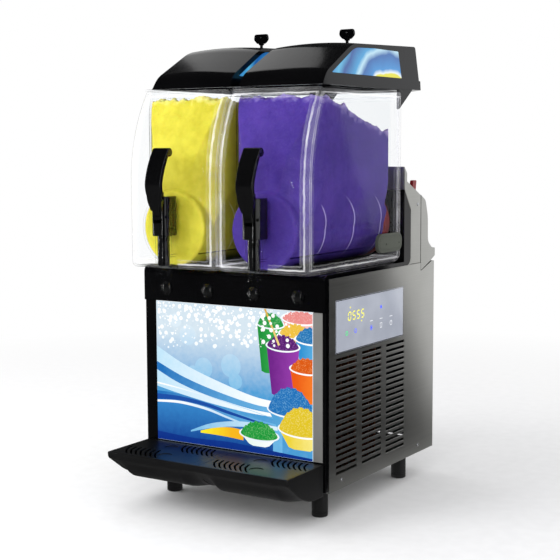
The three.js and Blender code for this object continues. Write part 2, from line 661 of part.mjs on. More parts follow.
// Each grille stands over a basin, whose middle is deeper where the tray bulges into a lobe.
function dripTray() {
  const { half, front, rear, bottom, top } = TRAY;
  const side = outline([
    [rear, top], [front, top, 3], [front, 97, 8], [-121, 86], [-88, 62, 16], [-57, bottom, 16],
    [rear, bottom],
  ]);
  const lobe = outline([[-40, bottom], [-94, bottom, 14], [-126, 84], [-110, 92], [-40, 92]]);
  const lobes = [-GRILLE.x, GRILLE.x].map((x) => prism('x', lobe, x - 62, x + 62));
  const pocket = outline([[-45, bottom + 4], [-91, bottom + 4, 12], [-121, 85], [-110, 94], [-45, 94]]);
  const notch = prism('y', outline([[-7, bottom - 5], [0, 78], [7, bottom - 5]]), front - 5, rear + 5);
  const recessFloor = top - GRILLE.thick - GAP;
  const tools = [notch];
  for (const x of [-GRILLE.x, GRILLE.x]) {
    const wide = GRILLE.half + 0.5;
    tools.push(box([x - wide, x + wide], [GRILLE.front - 0.5, GRILLE.rear + 0.5], [recessFloor, top + BACK]));
    const basin = outline([
      [rear - 8, 107], [front + 10, 107], [front + 12, 94], [-116, 89], [-85, 66, 15], [-55, bottom + 4, 15],
      [rear - 8, bottom + 4],
    ]);
    tools.push(prism('x', basin, x - GRILLE.half + 5, x + GRILLE.half - 5));
    tools.push(prism('x', pocket, x - 57, x + 57));
  }
  return cut(join(prism('x', side, -half, half), ...lobes), ...tools);
}

// Two groups of bowed slots, one front left and one rear right, and two shallow cup rings between them.
function dripGrille() {
  const { half, front, rear, thick } = GRILLE;
  const top = TRAY.top;
  const plate = box(both(half), [front, rear], [top - thick, top]);
  const slot = { count: 7, pitch: 11.2, wide: 4.6, lean: 26 };
  const tools = [];
  for (const group of [{ x: -86, y: [-128, -80] }, { x: 0, y: [-70, -22] }]) {
    for (let i = 0; i < slot.count; i += 1) {
      const x = group.x + i * slot.pitch;
      const [low, high] = group.y;
      const bowed = outline([
        [x + slot.lean, low], [x + 3, (low + high) / 2, 18], [x, high], [x + slot.wide, high],
        [x + slot.wide + 3, (low + high) / 2, 18], [x + slot.wide + slot.lean, low],
      ], 2);
      tools.push(prism('z', bowed, top - thick - BACK, top + BACK));
    }
  }
  for (const y of [-103, -49]) {
    tools.push(at(rod('z', 13, top - 1, top + BACK, 20), y < -75 ? 12 : -14, y, 0));
  }
  return cut(plate, ...tools);
}

// ---- the machine ----

add('base_pan', 'grey', basePan());
for (const [side, sign] of Object.entries(SIDES)) {
  add(`foot_front_${side}`, 'matt', foot(), sign * FOOT.x, FOOT.front);
  add(`foot_rear_${side}`, 'matt', foot(), sign * FOOT.x, FOOT.rear);
  add(`side_panel_${side}`, 'stainless', sidePanel(sign, side === 'right'));
}
add('rear_panel', 'stainless', rearPanel());
add('front_frame', 'black', frontFrame());
add('light_panel', 'panel', lightPanel());
add('light_box', 'steel', lightBox());
add('control_panel', 'control', controlPanel());
add('bowl_deck', 'black', bowlDeck());
add('motor_column', 'grey', motorColumn());
add('column_rear_cover', 'grey', columnRearCover());
add('power_inlet', 'matt', powerInlet(), INLET.x, 0, INLET.z);
add('power_switch', 'matt', powerRocker(), INLET.x + INLET.well, ROCKER.y, INLET.z);
add('compressor', 'matt', compressor(), -95, 290, CABINET.bottom + 2 + GAP);
add('condenser', 'copper', condenser());
add('fan_motor', 'grey', fanMotor());
add('fan_blade', 'matt', fanBlade(), FAN.x, FAN.y, FAN.z);
add('drip_tray', 'matt', dripTray());

for (const [side, sign] of Object.entries(SIDES)) {
  const x = sign * BOWL.x;
  add(`drip_grille_${side}`, 'matt', dripGrille(), sign * GRILLE.x);
  add(`thickness_adjuster_${side}`, 'red', thicknessAdjuster(), sign * ADJUSTER.x, ADJUSTER.y, ADJUSTER.z);
  add(`gearmotor_${side}`, 'grey', gearmotor(), x, 0, TROUGH.z);
  add(`evaporator_${side}`, 'steel', evaporator(), x, 0, TROUGH.z);
  const shaft = rod('y', SHAFT.radius, AUGER.front + 4.3, SHAFT.rear, 16);
  add(`drive_shaft_${side}`, 'steel', shaft, x, 0, TROUGH.z);
  add(`auger_${side}`, 'clear', auger(), x, 0, TROUGH.z);
  add(`bowl_gasket_${side}`, 'rubber', bowlGasket(), x);
  add(`bowl_jacket_${side}`, 'clear', bowlJacket(), x);
  add(`bowl_vessel_${side}`, 'clear', bowlVessel(), x);
  add(`slush_${side}`, side === 'left' ? 'yellow' : 'purple', slush(), x);
  add(`bowl_latch_${side}`, 'olive', bowlLatch(sign));
  add(`tap_housing_${side}`, 'black', tapHousing(), x);
  add(`tap_piston_${side}`, 'black', tapPiston(), x, SPOUT.y);
  add(`tap_spring_${side}`, 'steel', tapSpring(), x, SPOUT.y);
  add(`tap_lever_${side}`, 'black', tapLever(), x);
  add(`lever_pin_${side}`, 'steel', leverPin(), x);
  add(`lid_${side}`, 'black', lid(), x);
  add(`lid_light_${side}`, 'panel', lidLight(), x);
  add(`lid_key_${side}`, 'black', lidKey(), x, KEY.y);
}

export default machine;
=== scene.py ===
"""Looks of a counter-top slush machine with two bowls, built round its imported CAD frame.

Shapes are drawn in millimetres in the cabinet frame: X right, Y back from the front edge of the
side panels, Z up from the counter. piece() takes a finished mesh to the frame's own axes, in metres.
"""

import math
from types import SimpleNamespace as Sizes

import bmesh
import bpy
from mathutils import Matrix, Vector, noise


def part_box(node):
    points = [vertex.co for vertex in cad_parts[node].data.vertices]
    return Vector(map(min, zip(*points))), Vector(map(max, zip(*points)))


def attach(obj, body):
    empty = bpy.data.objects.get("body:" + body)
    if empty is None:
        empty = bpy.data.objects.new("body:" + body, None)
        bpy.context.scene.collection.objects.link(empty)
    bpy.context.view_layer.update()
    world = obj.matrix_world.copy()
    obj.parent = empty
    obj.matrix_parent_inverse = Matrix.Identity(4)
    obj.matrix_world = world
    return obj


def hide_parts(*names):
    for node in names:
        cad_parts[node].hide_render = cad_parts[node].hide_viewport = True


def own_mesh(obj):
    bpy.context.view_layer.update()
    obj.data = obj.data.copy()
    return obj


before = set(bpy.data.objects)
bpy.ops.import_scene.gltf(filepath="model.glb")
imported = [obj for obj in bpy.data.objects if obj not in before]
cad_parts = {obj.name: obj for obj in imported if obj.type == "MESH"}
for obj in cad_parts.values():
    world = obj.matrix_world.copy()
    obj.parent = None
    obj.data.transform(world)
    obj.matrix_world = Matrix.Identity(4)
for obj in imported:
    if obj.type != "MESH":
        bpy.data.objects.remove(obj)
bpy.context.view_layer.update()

MM = 0.001
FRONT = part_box("side_panel_left")[0].y
SIDES = {"left": -1, "right": 1}


def box_mm(node):
    """The lowest and highest corners of a CAD node, in millimetres in the cabinet frame."""
    low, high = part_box(node)
    shift = Vector((0, FRONT, 0))
    return (low - shift) / MM, (high - shift) / MM


# ---- driving sizes, in millimetres ----

CABINET_LO, CABINET_HI = box_mm("side_panel_right")
CABINET = Sizes(half=CABINET_HI.x, depth=CABINET_HI.y, bottom=CABINET_LO.z, top=CABINET_HI.z)
JACKET_LO, JACKET_HI = box_mm("bowl_jacket_right")
BOWL = Sizes(
    x=(JACKET_LO.x + JACKET_HI.x) / 2,
    half=(JACKET_HI.x - JACKET_LO.x) / 2,
    bottom=JACKET_LO.z,
    top=JACKET_HI.z,
    front=-62,
    rear=JACKET_HI.y,
    wall=3,
    round=9,
    bend_from=603,
    bend_rate=0.00167,
)
VESSEL = Sizes(half=90, top=777, front=-50, rear=256, wall=2.5, rim=778)
TROUGH = Sizes(z=522.5, radius=72, front=-58, rear=284, nose=6)
AUGER = Sizes(inner=58, outer=66, width=6, pitch=106, turns=3, front=-49, sweep=66.4)
SPOUT = Sizes(y=-85, radius=15, bore=11.5, bottom=438, top=509.7)
TAP = Sizes(half=17.5, front=-104, rear=-63, bottom=510, top=582, slot=9.5)
PIVOT = Sizes(y=-97, z=545, pin=2.5, boss=8, length=12)
LEVER = Sizes(half=17.5, arm=8.7, gap=0.8, tip=556)
LID = Sizes(half=88.5, taper=6, bottom=778.3, top=865, rear=388, wall=3, crown=5)
LOBE = Sizes(x=100, half=62, fade=26, reach=20)
DECK = Sizes(top=445.5, thick=7, upright=293, cheek=321, face=-15, bottom=380)
COLUMN = Sizes(seam=367, bottom=438.3, apron=423, bend=18)
TRAY = Sizes(half=197, front=-137, rear=-14, bottom=50, top=108)
CAPS = Sizes(z=405, places=(-146, -51, 51, 146))
REAR_VENTS = Sizes(left=-152, right=153, bottom=150, top=362)
SIDE_SCREWS = ((46, 68), (359, 68), (352, 556))
LIGHT_LO, LIGHT_HI = box_mm("light_panel")
CONTROL_LO, CONTROL_HI = box_mm("control_panel")
DISPLAY = Sizes(y=69, z=357, cell=9.5, high=14.5, pitch=16.5, lean=0.1, bar=1.9)
KEYS = Sizes(places=(158, 197, 238), line=346, mark=333, arm=5.5)


# ---- outlines ----


def outline(corners, steps=10):
    """A corner is (a, b), or (a, b, setback), which turns it into a smooth bend."""
    points = []
    for i, corner in enumerate(corners):
        here = Vector(corner[:2])
        if len(corner) == 2:
            points.append(here)
            continue
        before = (Vector(corners[i - 1][:2]) - here).normalized() * corner[2]
        after = (Vector(corners[(i + 1) % len(corners)][:2]) - here).normalized() * corner[2]
        for k in range(steps + 1):
            t = k / steps
            points.append(here + before * (1 - t) ** 2 + after * t**2)
    return points


def signed_area(points):
    pairs = zip(points, points[1:] + points[:1])
    return sum(a.x * b.y - b.x * a.y for a, b in pairs) / 2


def inset(points, distance):
    """Moves every side of an outline inwards by the same distance."""
    turn = 1 if signed_area(points) > 0 else -1
    moved = []
    for i, here in enumerate(points):
        before = (here - points[i - 1]).normalized()
        after = (points[(i + 1) % len(points)] - here).normalized()
        middle = (before + after).normalized()
        inward = Vector((-middle.y, middle.x)) * turn
        moved.append(here + inward * distance / max(0.3, before.dot(middle)))
    return moved


def arc(centre, radius, start, end, steps=16):
    """Points round part of a circle; the angles are in degrees."""
    angles = [math.radians(start + (end - start) * i / steps) for i in range(steps + 1)]
    return [Vector((centre[0] + radius * math.cos(a), centre[1] + radius * math.sin(a))) for a in angles]


def ellipse(centre, across, up, steps=28):
    circle = arc((0, 0), 1, 0, 360, steps)[:-1]
    return [Vector((centre[0] + across * p.x, centre[1] + up * p.y)) for p in circle]


# ---- meshes ----

# For each push axis: where (across, up, along) go.
AXES = {"x": (1, 2, 0), "y": (0, 2, 1), "z": (0, 1, 2)}


def mesh_from(vertices, faces):
    """A mesh with its faces pointing out."""
    shape = bmesh.new()
    made = [shape.verts.new(v) for v in vertices]
    for face in faces:
        shape.faces.new([made[i] for i in face])
    bmesh.ops.recalc_face_normals(shape, faces=shape.faces)
    mesh = bpy.data.meshes.new("shape")
    shape.to_mesh(mesh)
    shape.free()
    return mesh


def loft(axis, rings, closed_ends=True):
    """Joins outlines of equal length, each given with its place along the axis."""
    across, up, along = AXES[axis]
    vertices = []
    for points, place in rings:
        for point in points:
            vertex = [0, 0, 0]
            vertex[across], vertex[up], vertex[along] = point.x, point.y, place
            vertices.append(vertex)
    count = len(rings[0][0])
    faces = []
    for ring in range(len(rings) - 1):
        for i in range(count):
            a, b = ring * count + i, ring * count + (i + 1) % count
            faces.append((a, b, b + count, a + count))
    if closed_ends:
        faces.append(tuple(range(count)))
        faces.append(tuple(range((len(rings) - 1) * count, len(rings) * count)))
    return mesh_from(vertices, faces)


def prism(axis, points, low, high, rounding=0, steps=4):
    """An outline pushed along an axis, with its two end edges rounded."""
    if not rounding:
        return loft(axis, [(points, low), (points, high)])
    turns = [math.pi / 2 * i / steps for i in range(steps + 1)]
    near = [(rounding * (1 - math.sin(t)), rounding * (1 - math.cos(t))) for t in turns]
    rings = [(inset(points, depth), low + place) for depth, place in near]
    rings += [(inset(points, depth), high - place) for depth, place in reversed(near)]
    return loft(axis, rings)


def box(x, y, z):
    corners = [Vector(c) for c in ((x[0], y[0]), (x[1], y[0]), (x[1], y[1]), (x[0], y[1]))]
    return prism("z", corners, *z)


def turned(axis, profile, sides=48, x=0, y=0, z=0):
    """A turned solid: (radius, place) points along an axis, whose two ends lie on that axis."""
    across, up, along = AXES[axis]
    centre = (x, y, z)
    vertices, rings = [], []
    for radius, place in profile:
        count = sides if radius > 0 else 1
        rings.append(list(range(len(vertices), len(vertices) + count)))
        for i in range(count):
            angle = 2 * math.pi * i / sides
            vertex = [0, 0, 0]
            vertex[across] = centre[across] + radius * math.cos(angle)
            vertex[up] = centre[up] + radius * math.sin(angle)
            vertex[along] = centre[along] + place
            vertices.append(vertex)
    faces = []
    for low, high in zip(rings, rings[1:]):
        for i in range(sides):
            k = (i + 1) % sides
            corners = [low[i % len(low)], low[k % len(low)], high[k % len(high)], high[i % len(high)]]
            faces.append(tuple(dict.fromkeys(corners)))
    return mesh_from(vertices, [face for face in faces if len(face) > 2])


def rod(axis, radius, low, high, sides=48, edge=0.0, x=0, y=0, z=0):
    """A round bar; edge breaks its two end edges."""
    if not edge:
        profile = [(0, low), (radius, low), (radius, high), (0, high)]
    else:
        turns = (0, 0.52, 1.05, 1.57)
        curve = [(radius - edge * (1 - math.sin(t)), edge * (1 - math.cos(t))) for t in turns]
        profile = [(0, low)] + [(r, low + p) for r, p in curve]
        profile += [(r, high - p) for r, p in reversed(curve)] + [(0, high)]
    return turned(axis, profile, sides, x, y, z)


def modified(mesh, *settings):
    """The mesh after some modifiers, each given as (kind, values)."""
    holder = bpy.data.objects.new("holder", mesh)
    bpy.context.scene.collection.objects.link(holder)
    for kind, values in settings:
        modifier = holder.modifiers.new(kind.lower(), kind)
        for key, value in values.items():
            setattr(modifier, key, value)
    graph = bpy.context.evaluated_depsgraph_get()
    result = bpy.data.meshes.new_from_object(holder.evaluated_get(graph))
    bpy.data.objects.remove(holder)
    return result


def combine(operation, first, others):
    """One closed mesh from several, by the exact boolean."""
    tools = []
    for other in others:
        tool = bpy.data.objects.new("tool", other)
        bpy.context.scene.collection.objects.link(tool)
        tools.append(tool)
    steps = [("BOOLEAN", {"operation": operation, "solver": "EXACT", "object": tool}) for tool in tools]
    result = modified(first, *steps)
    for tool in tools:
        bpy.data.objects.remove(tool)
    return result


def cut(first, *others):
    return combine("DIFFERENCE", first, others)


def join(first, *others):
    return combine("UNION", first, others)


def common(first, *others):
    return combine("INTERSECT", first, others)


def together(*meshes):
    """Several separate closed shells in one mesh."""
    shape = bmesh.new()
    for mesh in meshes:
        shape.from_mesh(mesh)
    result = bpy.data.meshes.new("shells")
    shape.to_mesh(result)
    shape.free()
    return result


def shifted(mesh, x=0, y=0, z=0):
    copy = mesh.copy()
    copy.transform(Matrix.Translation((x, y, z)))
    return copy


def softened(mesh, width, segments=2, angle=35):
    """Breaks every sharp edge."""
    sharp = {"limit_method": "ANGLE", "angle_limit": math.radians(angle)}
    return modified(mesh, ("BEVEL", {"width": width, "segments": segments, **sharp}))


def node_mesh(node):
    """A clean copy of a CAD node in cabinet millimetres, with flat faces whole again."""
    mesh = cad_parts[node].data.copy()
    mesh.transform(Matrix.Scale(1 / MM, 4) @ Matrix.Translation((0, -FRONT, 0)))
    shape = bmesh.new()
    shape.from_mesh(mesh)
    bmesh.ops.remove_doubles(shape, verts=shape.verts, dist=0.01)
    flat = math.radians(0.5)
    bmesh.ops.dissolve_limit(shape, angle_limit=flat, verts=shape.verts, edges=shape.edges)
    shape.to_mesh(mesh)
    shape.free()
    return mesh


def piece(name, mesh, body, look, replaces=(), smooth=38):
    """Shows a mesh drawn in cabinet millimetres as one piece that rides on a CAD body."""
    own = mesh.copy()
    own.name = name
    own.transform(Matrix.Translation((0, FRONT, 0)) @ Matrix.Scale(MM, 4))
    own.materials.clear()
    own.materials.append(look)
    own.polygons.foreach_set("use_smooth", [True] * len(own.polygons))
    own.set_sharp_from_angle(angle=math.radians(smooth))
    made = bpy.data.objects.new(name, own)
    bpy.context.scene.collection.objects.link(made)
    weighted = made.modifiers.new("weighted", "WEIGHTED_NORMAL")
    weighted.keep_sharp = True
    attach(made, body)
    if replaces:
        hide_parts(*replaces)
    return made


# ---- materials ----


def rgb(code):
    """A linear colour from a web colour."""
    parts = [int(code[i : i + 2], 16) / 255 for i in (1, 3, 5)]
    return tuple(p / 12.92 if p <= 0.04045 else ((p + 0.055) / 1.055) ** 2.4 for p in parts) + (1,)


class Look:
    """One material's nodes, placed by the piece's own coordinates in metres."""

    def __init__(self, name, **values):
        self.material = bpy.data.materials.new(name)
        self.material.use_nodes = True
        self.tree = self.material.node_tree
        self.shader = self.tree.nodes["Principled BSDF"]
        self.output = self.tree.nodes["Material Output"]
        self.place = self.tree.nodes.new("ShaderNodeTexCoord").outputs["Object"]
        for key, value in values.items():
            self.set(key, value)

    def set(self, key, value):
        """Sets or links one of the shader's sockets, named with underscores."""
        self.feed(self.shader.inputs[key.replace("_", " ")], value)

    def feed(self, socket, value):
        if isinstance(value, bpy.types.NodeSocket):
            self.tree.links.new(value, socket)
        else:
            socket.default_value = value

    def node(self, kind, inputs=(), **settings):
        made = self.tree.nodes.new("ShaderNode" + kind)
        for key, value in settings.items():
            setattr(made, key, value)
        for key, value in dict(inputs).items():
            self.feed(made.inputs[key], value)
        return made

    def stretched(self, scale):
        return self.node("Mapping", {"Vector": self.place, "Scale": scale}).outputs["Vector"]

    def noise(self, scale, detail=3, stretch=None, rough=0.5):
        place = self.stretched(stretch) if stretch else self.place
        inputs = {"Vector": place, "Scale": scale, "Detail": detail, "Roughness": rough}
        return self.node("TexNoise", inputs).outputs["Fac"]

    def grains(self, scale, feature="F1"):
        inputs = {"Vector": self.place, "Scale": scale}
        return self.node("TexVoronoi", inputs, feature=feature).outputs["Distance"]

    def ramp(self, factor, stops):
        made = self.node("ValToRGB", {"Fac": factor})
        elements = made.color_ramp.elements
        while len(elements) < len(stops):
            elements.new(0.5)
        for element, (position, colour) in zip(elements, stops):
            element.position = position
            element.color = colour if len(colour) == 4 else (*colour, 1)
        return made.outputs["Color"]

    def grey(self, factor, low, high, start=0.3, end=0.7):
        """Maps a factor between start and end to a number between low and high."""
        inputs = {"Value": factor, "From Min": start, "From Max": end, "To Min": low, "To Max": high}
        return self.node("MapRange", inputs).outputs["Result"]

    def mix(self, factor, first, second, blend="MIX"):
        made = self.node("Mix", data_type="RGBA", blend_type=blend)
        self.feed(made.inputs[0], factor)
        self.feed(made.inputs[6], first)
        self.feed(made.inputs[7], second)
        return made.outputs[2]

    def math(self, operation, first, second=0.0, third=0.0, clamp=False):
        made = self.node("Math", operation=operation, use_clamp=clamp)
        for socket, value in zip(made.inputs, (first, second, third)):
            self.feed(socket, value)
        return made.outputs[0]

    def along(self, axis):
        """One coordinate of the piece in cabinet millimetres."""
        parts = self.node("SeparateXYZ", {"Vector": self.place})
        origin = {"X": 0, "Y": FRONT, "Z": 0}[axis]
        return self.math("MULTIPLY", self.math("SUBTRACT", parts.outputs[axis], origin), 1 / MM)

    def blend(self, factor, first, second):
        """Shows a mix of two shaders on the surface."""
        mixed = self.node("MixShader", {0: factor, 1: first, 2: second}).outputs["Shader"]
        self.tree.links.new(mixed, self.output.inputs["Surface"])
        return mixed

    def bump(self, height, strength, distance=0.0005):
        inputs = {"Height": height, "Strength": strength, "Distance": distance}
        self.set("Normal", self.node("Bump", inputs).outputs["Normal"])


def brushed_metal(name, colour, rough=0.34, stretch=(3, 3, 700)):
    """Metal brushed along its length: fine streaks in tone, gloss and height."""
    look = Look(name, Metallic=1.0)
    streaks = look.noise(1, 4, stretch)
    clouds = look.noise(9, 2)
    tone = look.mix(look.grey(streaks, 0.3, 0.7), rgb(colour[0]), rgb(colour[1]))
    look.set("Base_Color", look.mix(look.grey(clouds, 0, 0.1), tone, rgb("#ffffff")))
    look.set("Roughness", look.grey(streaks, rough - 0.06, rough + 0.08))
    look.bump(streaks, 0.12, 0.0002)
    return look.material


def painted(name, colour, rough, grain=900, depth=0.1, metal=0.0):
    """A sprayed or moulded finish with a fine grain and a little unevenness."""
    look = Look(name, Metallic=metal)
    clouds = look.noise(12, 3)
    fine = look.noise(grain, 2)
    lighter = tuple(min(1, c * 1.35 + 0.002) for c in rgb(colour)[:3]) + (1,)
    look.set("Base_Color", look.mix(look.grey(clouds, 0, 0.8), rgb(colour), lighter))
    look.set("Roughness", look.grey(clouds, rough * 0.85, rough * 1.15))
    look.bump(fine, depth, 0.0003)
    return look.material


def gloss_black(name, coat=0.08, specular=0.22):
    """Polished black moulding, with hairline marks that only show in reflections."""
    look = Look(name, Coat_Weight=coat, Coat_Roughness=0.04, Specular_IOR_Level=specular)
    hairs = look.noise(1, 3, (420, 25, 60))
    clouds = look.noise(7, 2)
    look.set("Base_Color", look.mix(look.grey(clouds, 0, 1), rgb("#020203"), rgb("#060607")))
    look.set("Roughness", look.grey(hairs, 0.1, 0.17))
    look.bump(hairs, 0.02, 0.0001)
    return look.material


def clear_plastic(name, edge=0.5):
    """Clear moulding: light passes straight through, and steep faces turn glossy and dark.

    Returns the look and its surface shader, for a caller that adds to it.
    """
    look = Look(name, Base_Color=rgb("#e8ecef"), Metallic=1.0)
    waves = look.noise(25, 2)
    look.set("Roughness", look.grey(waves, 0.03, 0.08))
    look.bump(waves, 0.06, 0.001)
    facing = look.node("LayerWeight", {"Blend": 0.5}).outputs["Facing"]
    steep = look.math("POWER", facing, 6.0)
    gloss = look.math("ADD", look.math("MULTIPLY", steep, edge), 0.003, clamp=True)
    tint = look.mix(look.math("POWER", facing, 7.0), (0.995, 0.998, 1, 1), rgb("#14171a"))
    passing = look.node("BsdfTransparent", {"Color": tint}).outputs["BSDF"]
    look.material.surface_render_method = "BLENDED"
    return look, look.blend(gloss, passing, look.shader.outputs["BSDF"])


def jacket_plastic_painted_edge_light(side):
    """The jacket's plastic: clear, with painted highlights along its thick edges (white diffuse and a faint
    glow, laid by distance from the edges) and a fainter painted line beside each.
    """
    look, clear = clear_plastic(f"jacket_clear_painted_highlight_{side}")
    across = look.math("ABSOLUTE", look.math("SUBTRACT", look.along("X"), SIDES[side] * BOWL.x))
    from_side = look.math("SUBTRACT", BOWL.half, across)
    y, z = look.along("Y"), look.along("Z")
    above_bend = look.math("MAXIMUM", look.math("SUBTRACT", z, BOWL.bend_from), 0.0)
    lean = look.math("MULTIPLY", look.math("MULTIPLY", above_bend, above_bend), BOWL.bend_rate)
    from_front = look.math("SUBTRACT", y, look.math("ADD", lean, BOWL.front))
    from_end = look.math("MINIMUM", from_front, look.math("SUBTRACT", BOWL.rear, y))
    below, above = look.math("SUBTRACT", z, BOWL.bottom), look.math("SUBTRACT", BOWL.top, z)
    from_foot = look.math("MINIMUM", below, above)
    nearer = look.math("MINIMUM", from_side, from_end)
    farther = look.math("MAXIMUM", from_side, from_end)
    from_edge = look.math("MAXIMUM", nearer, look.math("MINIMUM", farther, from_foot))
    wander = look.grey(look.noise(70, 3), -0.8, 0.8)
    place = look.math("ADD", from_edge, wander)
    # Painted highlight: how far the surface turns to white and glow at each distance from the shell's edges.
    levels = (
        (0.0, 0.3), (0.08, 0.05), (0.32, 0.04), (0.4, 0.42), (0.47, 0.05),
        (0.62, 0.0), (0.7, 0.1), (0.76, 0.0),
    )
    painted_highlight_lines = look.ramp(look.grey(place, 0, 1, 0, 24), [(at, (level,) * 3) for at, level in levels])
    broken_painted_highlight = look.math("MULTIPLY", painted_highlight_lines, look.grey(look.noise(18, 3), 0.3, 1.0))
    # Painted highlight: white diffuse and a faint glow stand in for light caught in the thick edges.
    light = look.node("BsdfDiffuse", {"Color": rgb("#ffffff")}).outputs["BSDF"]
    glow = look.node("Emission", {"Color": rgb("#f4f2fa"), "Strength": 0.45}).outputs["Emission"]
    painted_highlight_shader = look.node("AddShader", {0: light, 1: glow}).outputs["Shader"]
    look.blend(broken_painted_highlight, clear, painted_highlight_shader)
    return look.material


def slush_ice(name, deep, bright, pale):
    """Coloured crushed ice: packed grains, frothy near the top, with pale rings painted as highlights along
    the auger's flights.
    """
    look = Look(name, Subsurface_Weight=0.15, Subsurface_Scale=0.004, Specular_IOR_Level=0.3)
    grains = look.grains(520)
    lumps = look.noise(60, 5, rough=0.6)
    clouds = look.noise(11, 3)
    uneven = look.math("ADD", look.math("MULTIPLY", lumps, 0.4), look.math("MULTIPLY", clouds, 0.6))
    tone = look.mix(look.grey(uneven, 0, 1, 0.38, 0.62), rgb(deep), rgb(bright))
    fall = look.math("MULTIPLY", look.math("MAXIMUM", look.along("Y"), 0.0), 0.27)
    height = look.math("ADD", look.math("ADD", look.along("Z"), fall), look.grey(lumps, -9, 9))
    froth = look.grey(height, 0, 0.55, 750, 766)
    # Painted highlight: pale rings along the auger's flights, strongest at the trough's middle height and
    # fading above and below.
    half_pitch = AUGER.pitch / 2
    rise = look.math("SUBTRACT", look.along("Z"), TROUGH.z)
    upper = look.math("MAXIMUM", rise, 0.0)
    bow = look.math("MULTIPLY", look.math("MULTIPLY", upper, upper), 0.0165)
    along = look.math("SUBTRACT", look.math("ADD", look.along("Y"), bow), 42)
    from_flight = look.math("ABSOLUTE", look.math("WRAP", along, half_pitch, -half_pitch))
    ring = look.grey(from_flight, 1, 0, 0.8, 2.6)
    ring = look.math("MULTIPLY", ring, look.grey(look.math("ABSOLUTE", rise), 0.85, 0, 36, 60))
    ring = look.math("MULTIPLY", ring, look.grey(look.along("Y"), 0, 1, 5, 15))
    sparkle = look.grey(grains, 0.08, 0, 0.0, 0.3)
    froth_and_painted_rings = look.mix(look.math("MAXIMUM", froth, ring), tone, rgb(pale))
    look.set("Base_Color", look.mix(sparkle, froth_and_painted_rings, rgb("#ffffff")))
    look.set("Roughness", look.grey(grains, 0.3, 0.6, 0, 0.6))
    look.bump(look.math("ADD", lumps, look.math("MULTIPLY", grains, 0.5)), 0.2, 0.001)
    return look.material


def lamp(name, colour, strength, grain=300):
    """A lit surface, with a faint mottle."""
    look = Look(name, Base_Color=rgb("#202020"), Roughness=0.3)
    mottle = look.noise(grain, 2)
    dim = tuple(c * 0.86 for c in rgb(colour)[:3]) + (1,)
    look.set("Emission_Color", look.mix(look.grey(mottle, 0, 1), dim, rgb(colour)))
    look.set("Emission_Strength", strength)
    return look.material


def lit_print(look, colour, glow):
    """A backlit film: nearly all of its light comes from behind."""
    look.set("Base_Color", look.mix(0.9, colour, rgb("#000000")))
    look.set("Emission_Color", colour)
    look.set("Emission_Strength", glow)
    return look.material


def printed(name, low, high, axis="Z", span=(110, 380), grain=120, glow=0.93):
    """A gradient between two colours, with fine print grain."""
    look = Look(name, Roughness=0.3, Specular_IOR_Level=0.15)
    place = look.along(axis)
    grainy = look.grey(look.noise(grain, 3), -0.06, 0.06)
    share = look.math("ADD", look.grey(place, 0, 1, *span), grainy, clamp=True)
    return lit_print(look, look.mix(share, rgb(low), rgb(high)), glow)


def printed_ice(name, deep, bright):
    """Printed crushed ice: light and dark granules in one hue."""
    look = Look(name, Roughness=0.3, Specular_IOR_Level=0.15)
    grains = look.grains(420)
    blotches = look.noise(110, 4)
    share = look.math("MULTIPLY", look.grey(grains, 0.9, 0, 0, 0.5), look.grey(blotches, 0.2, 1.2))
    return lit_print(look, look.mix(share, rgb(deep), rgb(bright)), 0.85)


def control_glass():
    """Tinted back-painted glass."""
    coat = {"Coat_Weight": 0.15, "Coat_Roughness": 0.03}
    look = Look("control_glass", Roughness=0.1, Specular_IOR_Level=0.3, **coat)
    clouds = look.noise(14, 2)
    look.set("Base_Color", look.mix(look.grey(clouds, 0, 1), rgb("#a9aebb"), rgb("#bcc1cd")))
    return look.material


BRUSHED = brushed_metal("brushed_stainless", ("#acaca8", "#c8c8c3"))
COLUMN_METAL = brushed_metal("brushed_column", ("#a6a6a1", "#c2c2bd"), 0.36, (3, 3, 620))
# Painted reflection: a diffuse grey stands in for what the frame strip's bare metal reflects.
STRIP_GREY_PAINTED_REFLECTION = painted("strip_grey_painted_reflection", "#6a6a68", 0.4)
GRILLE_BLACK = painted("grille_black", "#0b0b0c", 0.36, grain=1400, depth=0.08)
INNER_STEEL = brushed_metal("inner_steel", ("#a2a4a6", "#c6c8ca"), 0.26, (500, 3, 3))
RIM_METAL = brushed_metal("rim_metal", ("#b8babd", "#dcdee0"), 0.2, (300, 300, 300))
COPPER = brushed_metal("copper", ("#9d6440", "#c98a62"), 0.3, (300, 4, 300))
GREY_PAINT = painted("grey_panel", "#7d7d79", 0.42, metal=0.4)
GLOSS_BLACK = gloss_black("gloss_black")
TAP_BLACK = gloss_black("tap_black", 0.5, 0.5)
CAP_BLACK = gloss_black("cap_black", 1.0, 0.7)
MATT_BLACK = painted("matt_black", "#0e0e0f", 0.36, grain=1400, depth=0.25)
COMPRESSOR_BLACK = painted("compressor_black", "#141416", 0.3, grain=500, depth=0.2)
RUBBER = painted("foot_rubber", "#0d0d0e", 0.45, grain=1100, depth=0.3)
OLIVE = painted("latch_olive", "#454940", 0.5, grain=1300, depth=0.35)
RED_TAB = painted("adjuster_red", "#7a0e14", 0.35)
GASKET = painted("gasket_red", "#7e2329", 0.55, grain=800, depth=0.2)
VESSEL_CLEAR = clear_plastic("vessel_clear", edge=0.3)[0].material
AUGER_PLASTIC = painted("auger_plastic", "#d9dde0", 0.3, grain=600)
YELLOW_ICE = slush_ice("yellow_slush", "#c2b62a", "#ddd142", "#f6f2b0")
PURPLE_ICE = slush_ice("purple_slush", "#3f2884", "#4f3597", "#b9a9dc")
CONTROL = control_glass()
LAMP_TRAY = painted("lamp_tray", "#e6e6e4", 0.4)


# ---- cabinet ----


def refined(node, body, look, width=0.5, segments=2, smooth=38):
    """A CAD node with clean shading and, unless it is thin sheet, broken edges."""
    mesh = softened(node_mesh(node), width, segments) if width else node_mesh(node)
    return piece(node + "_finished", mesh, body, look, (node,), smooth)


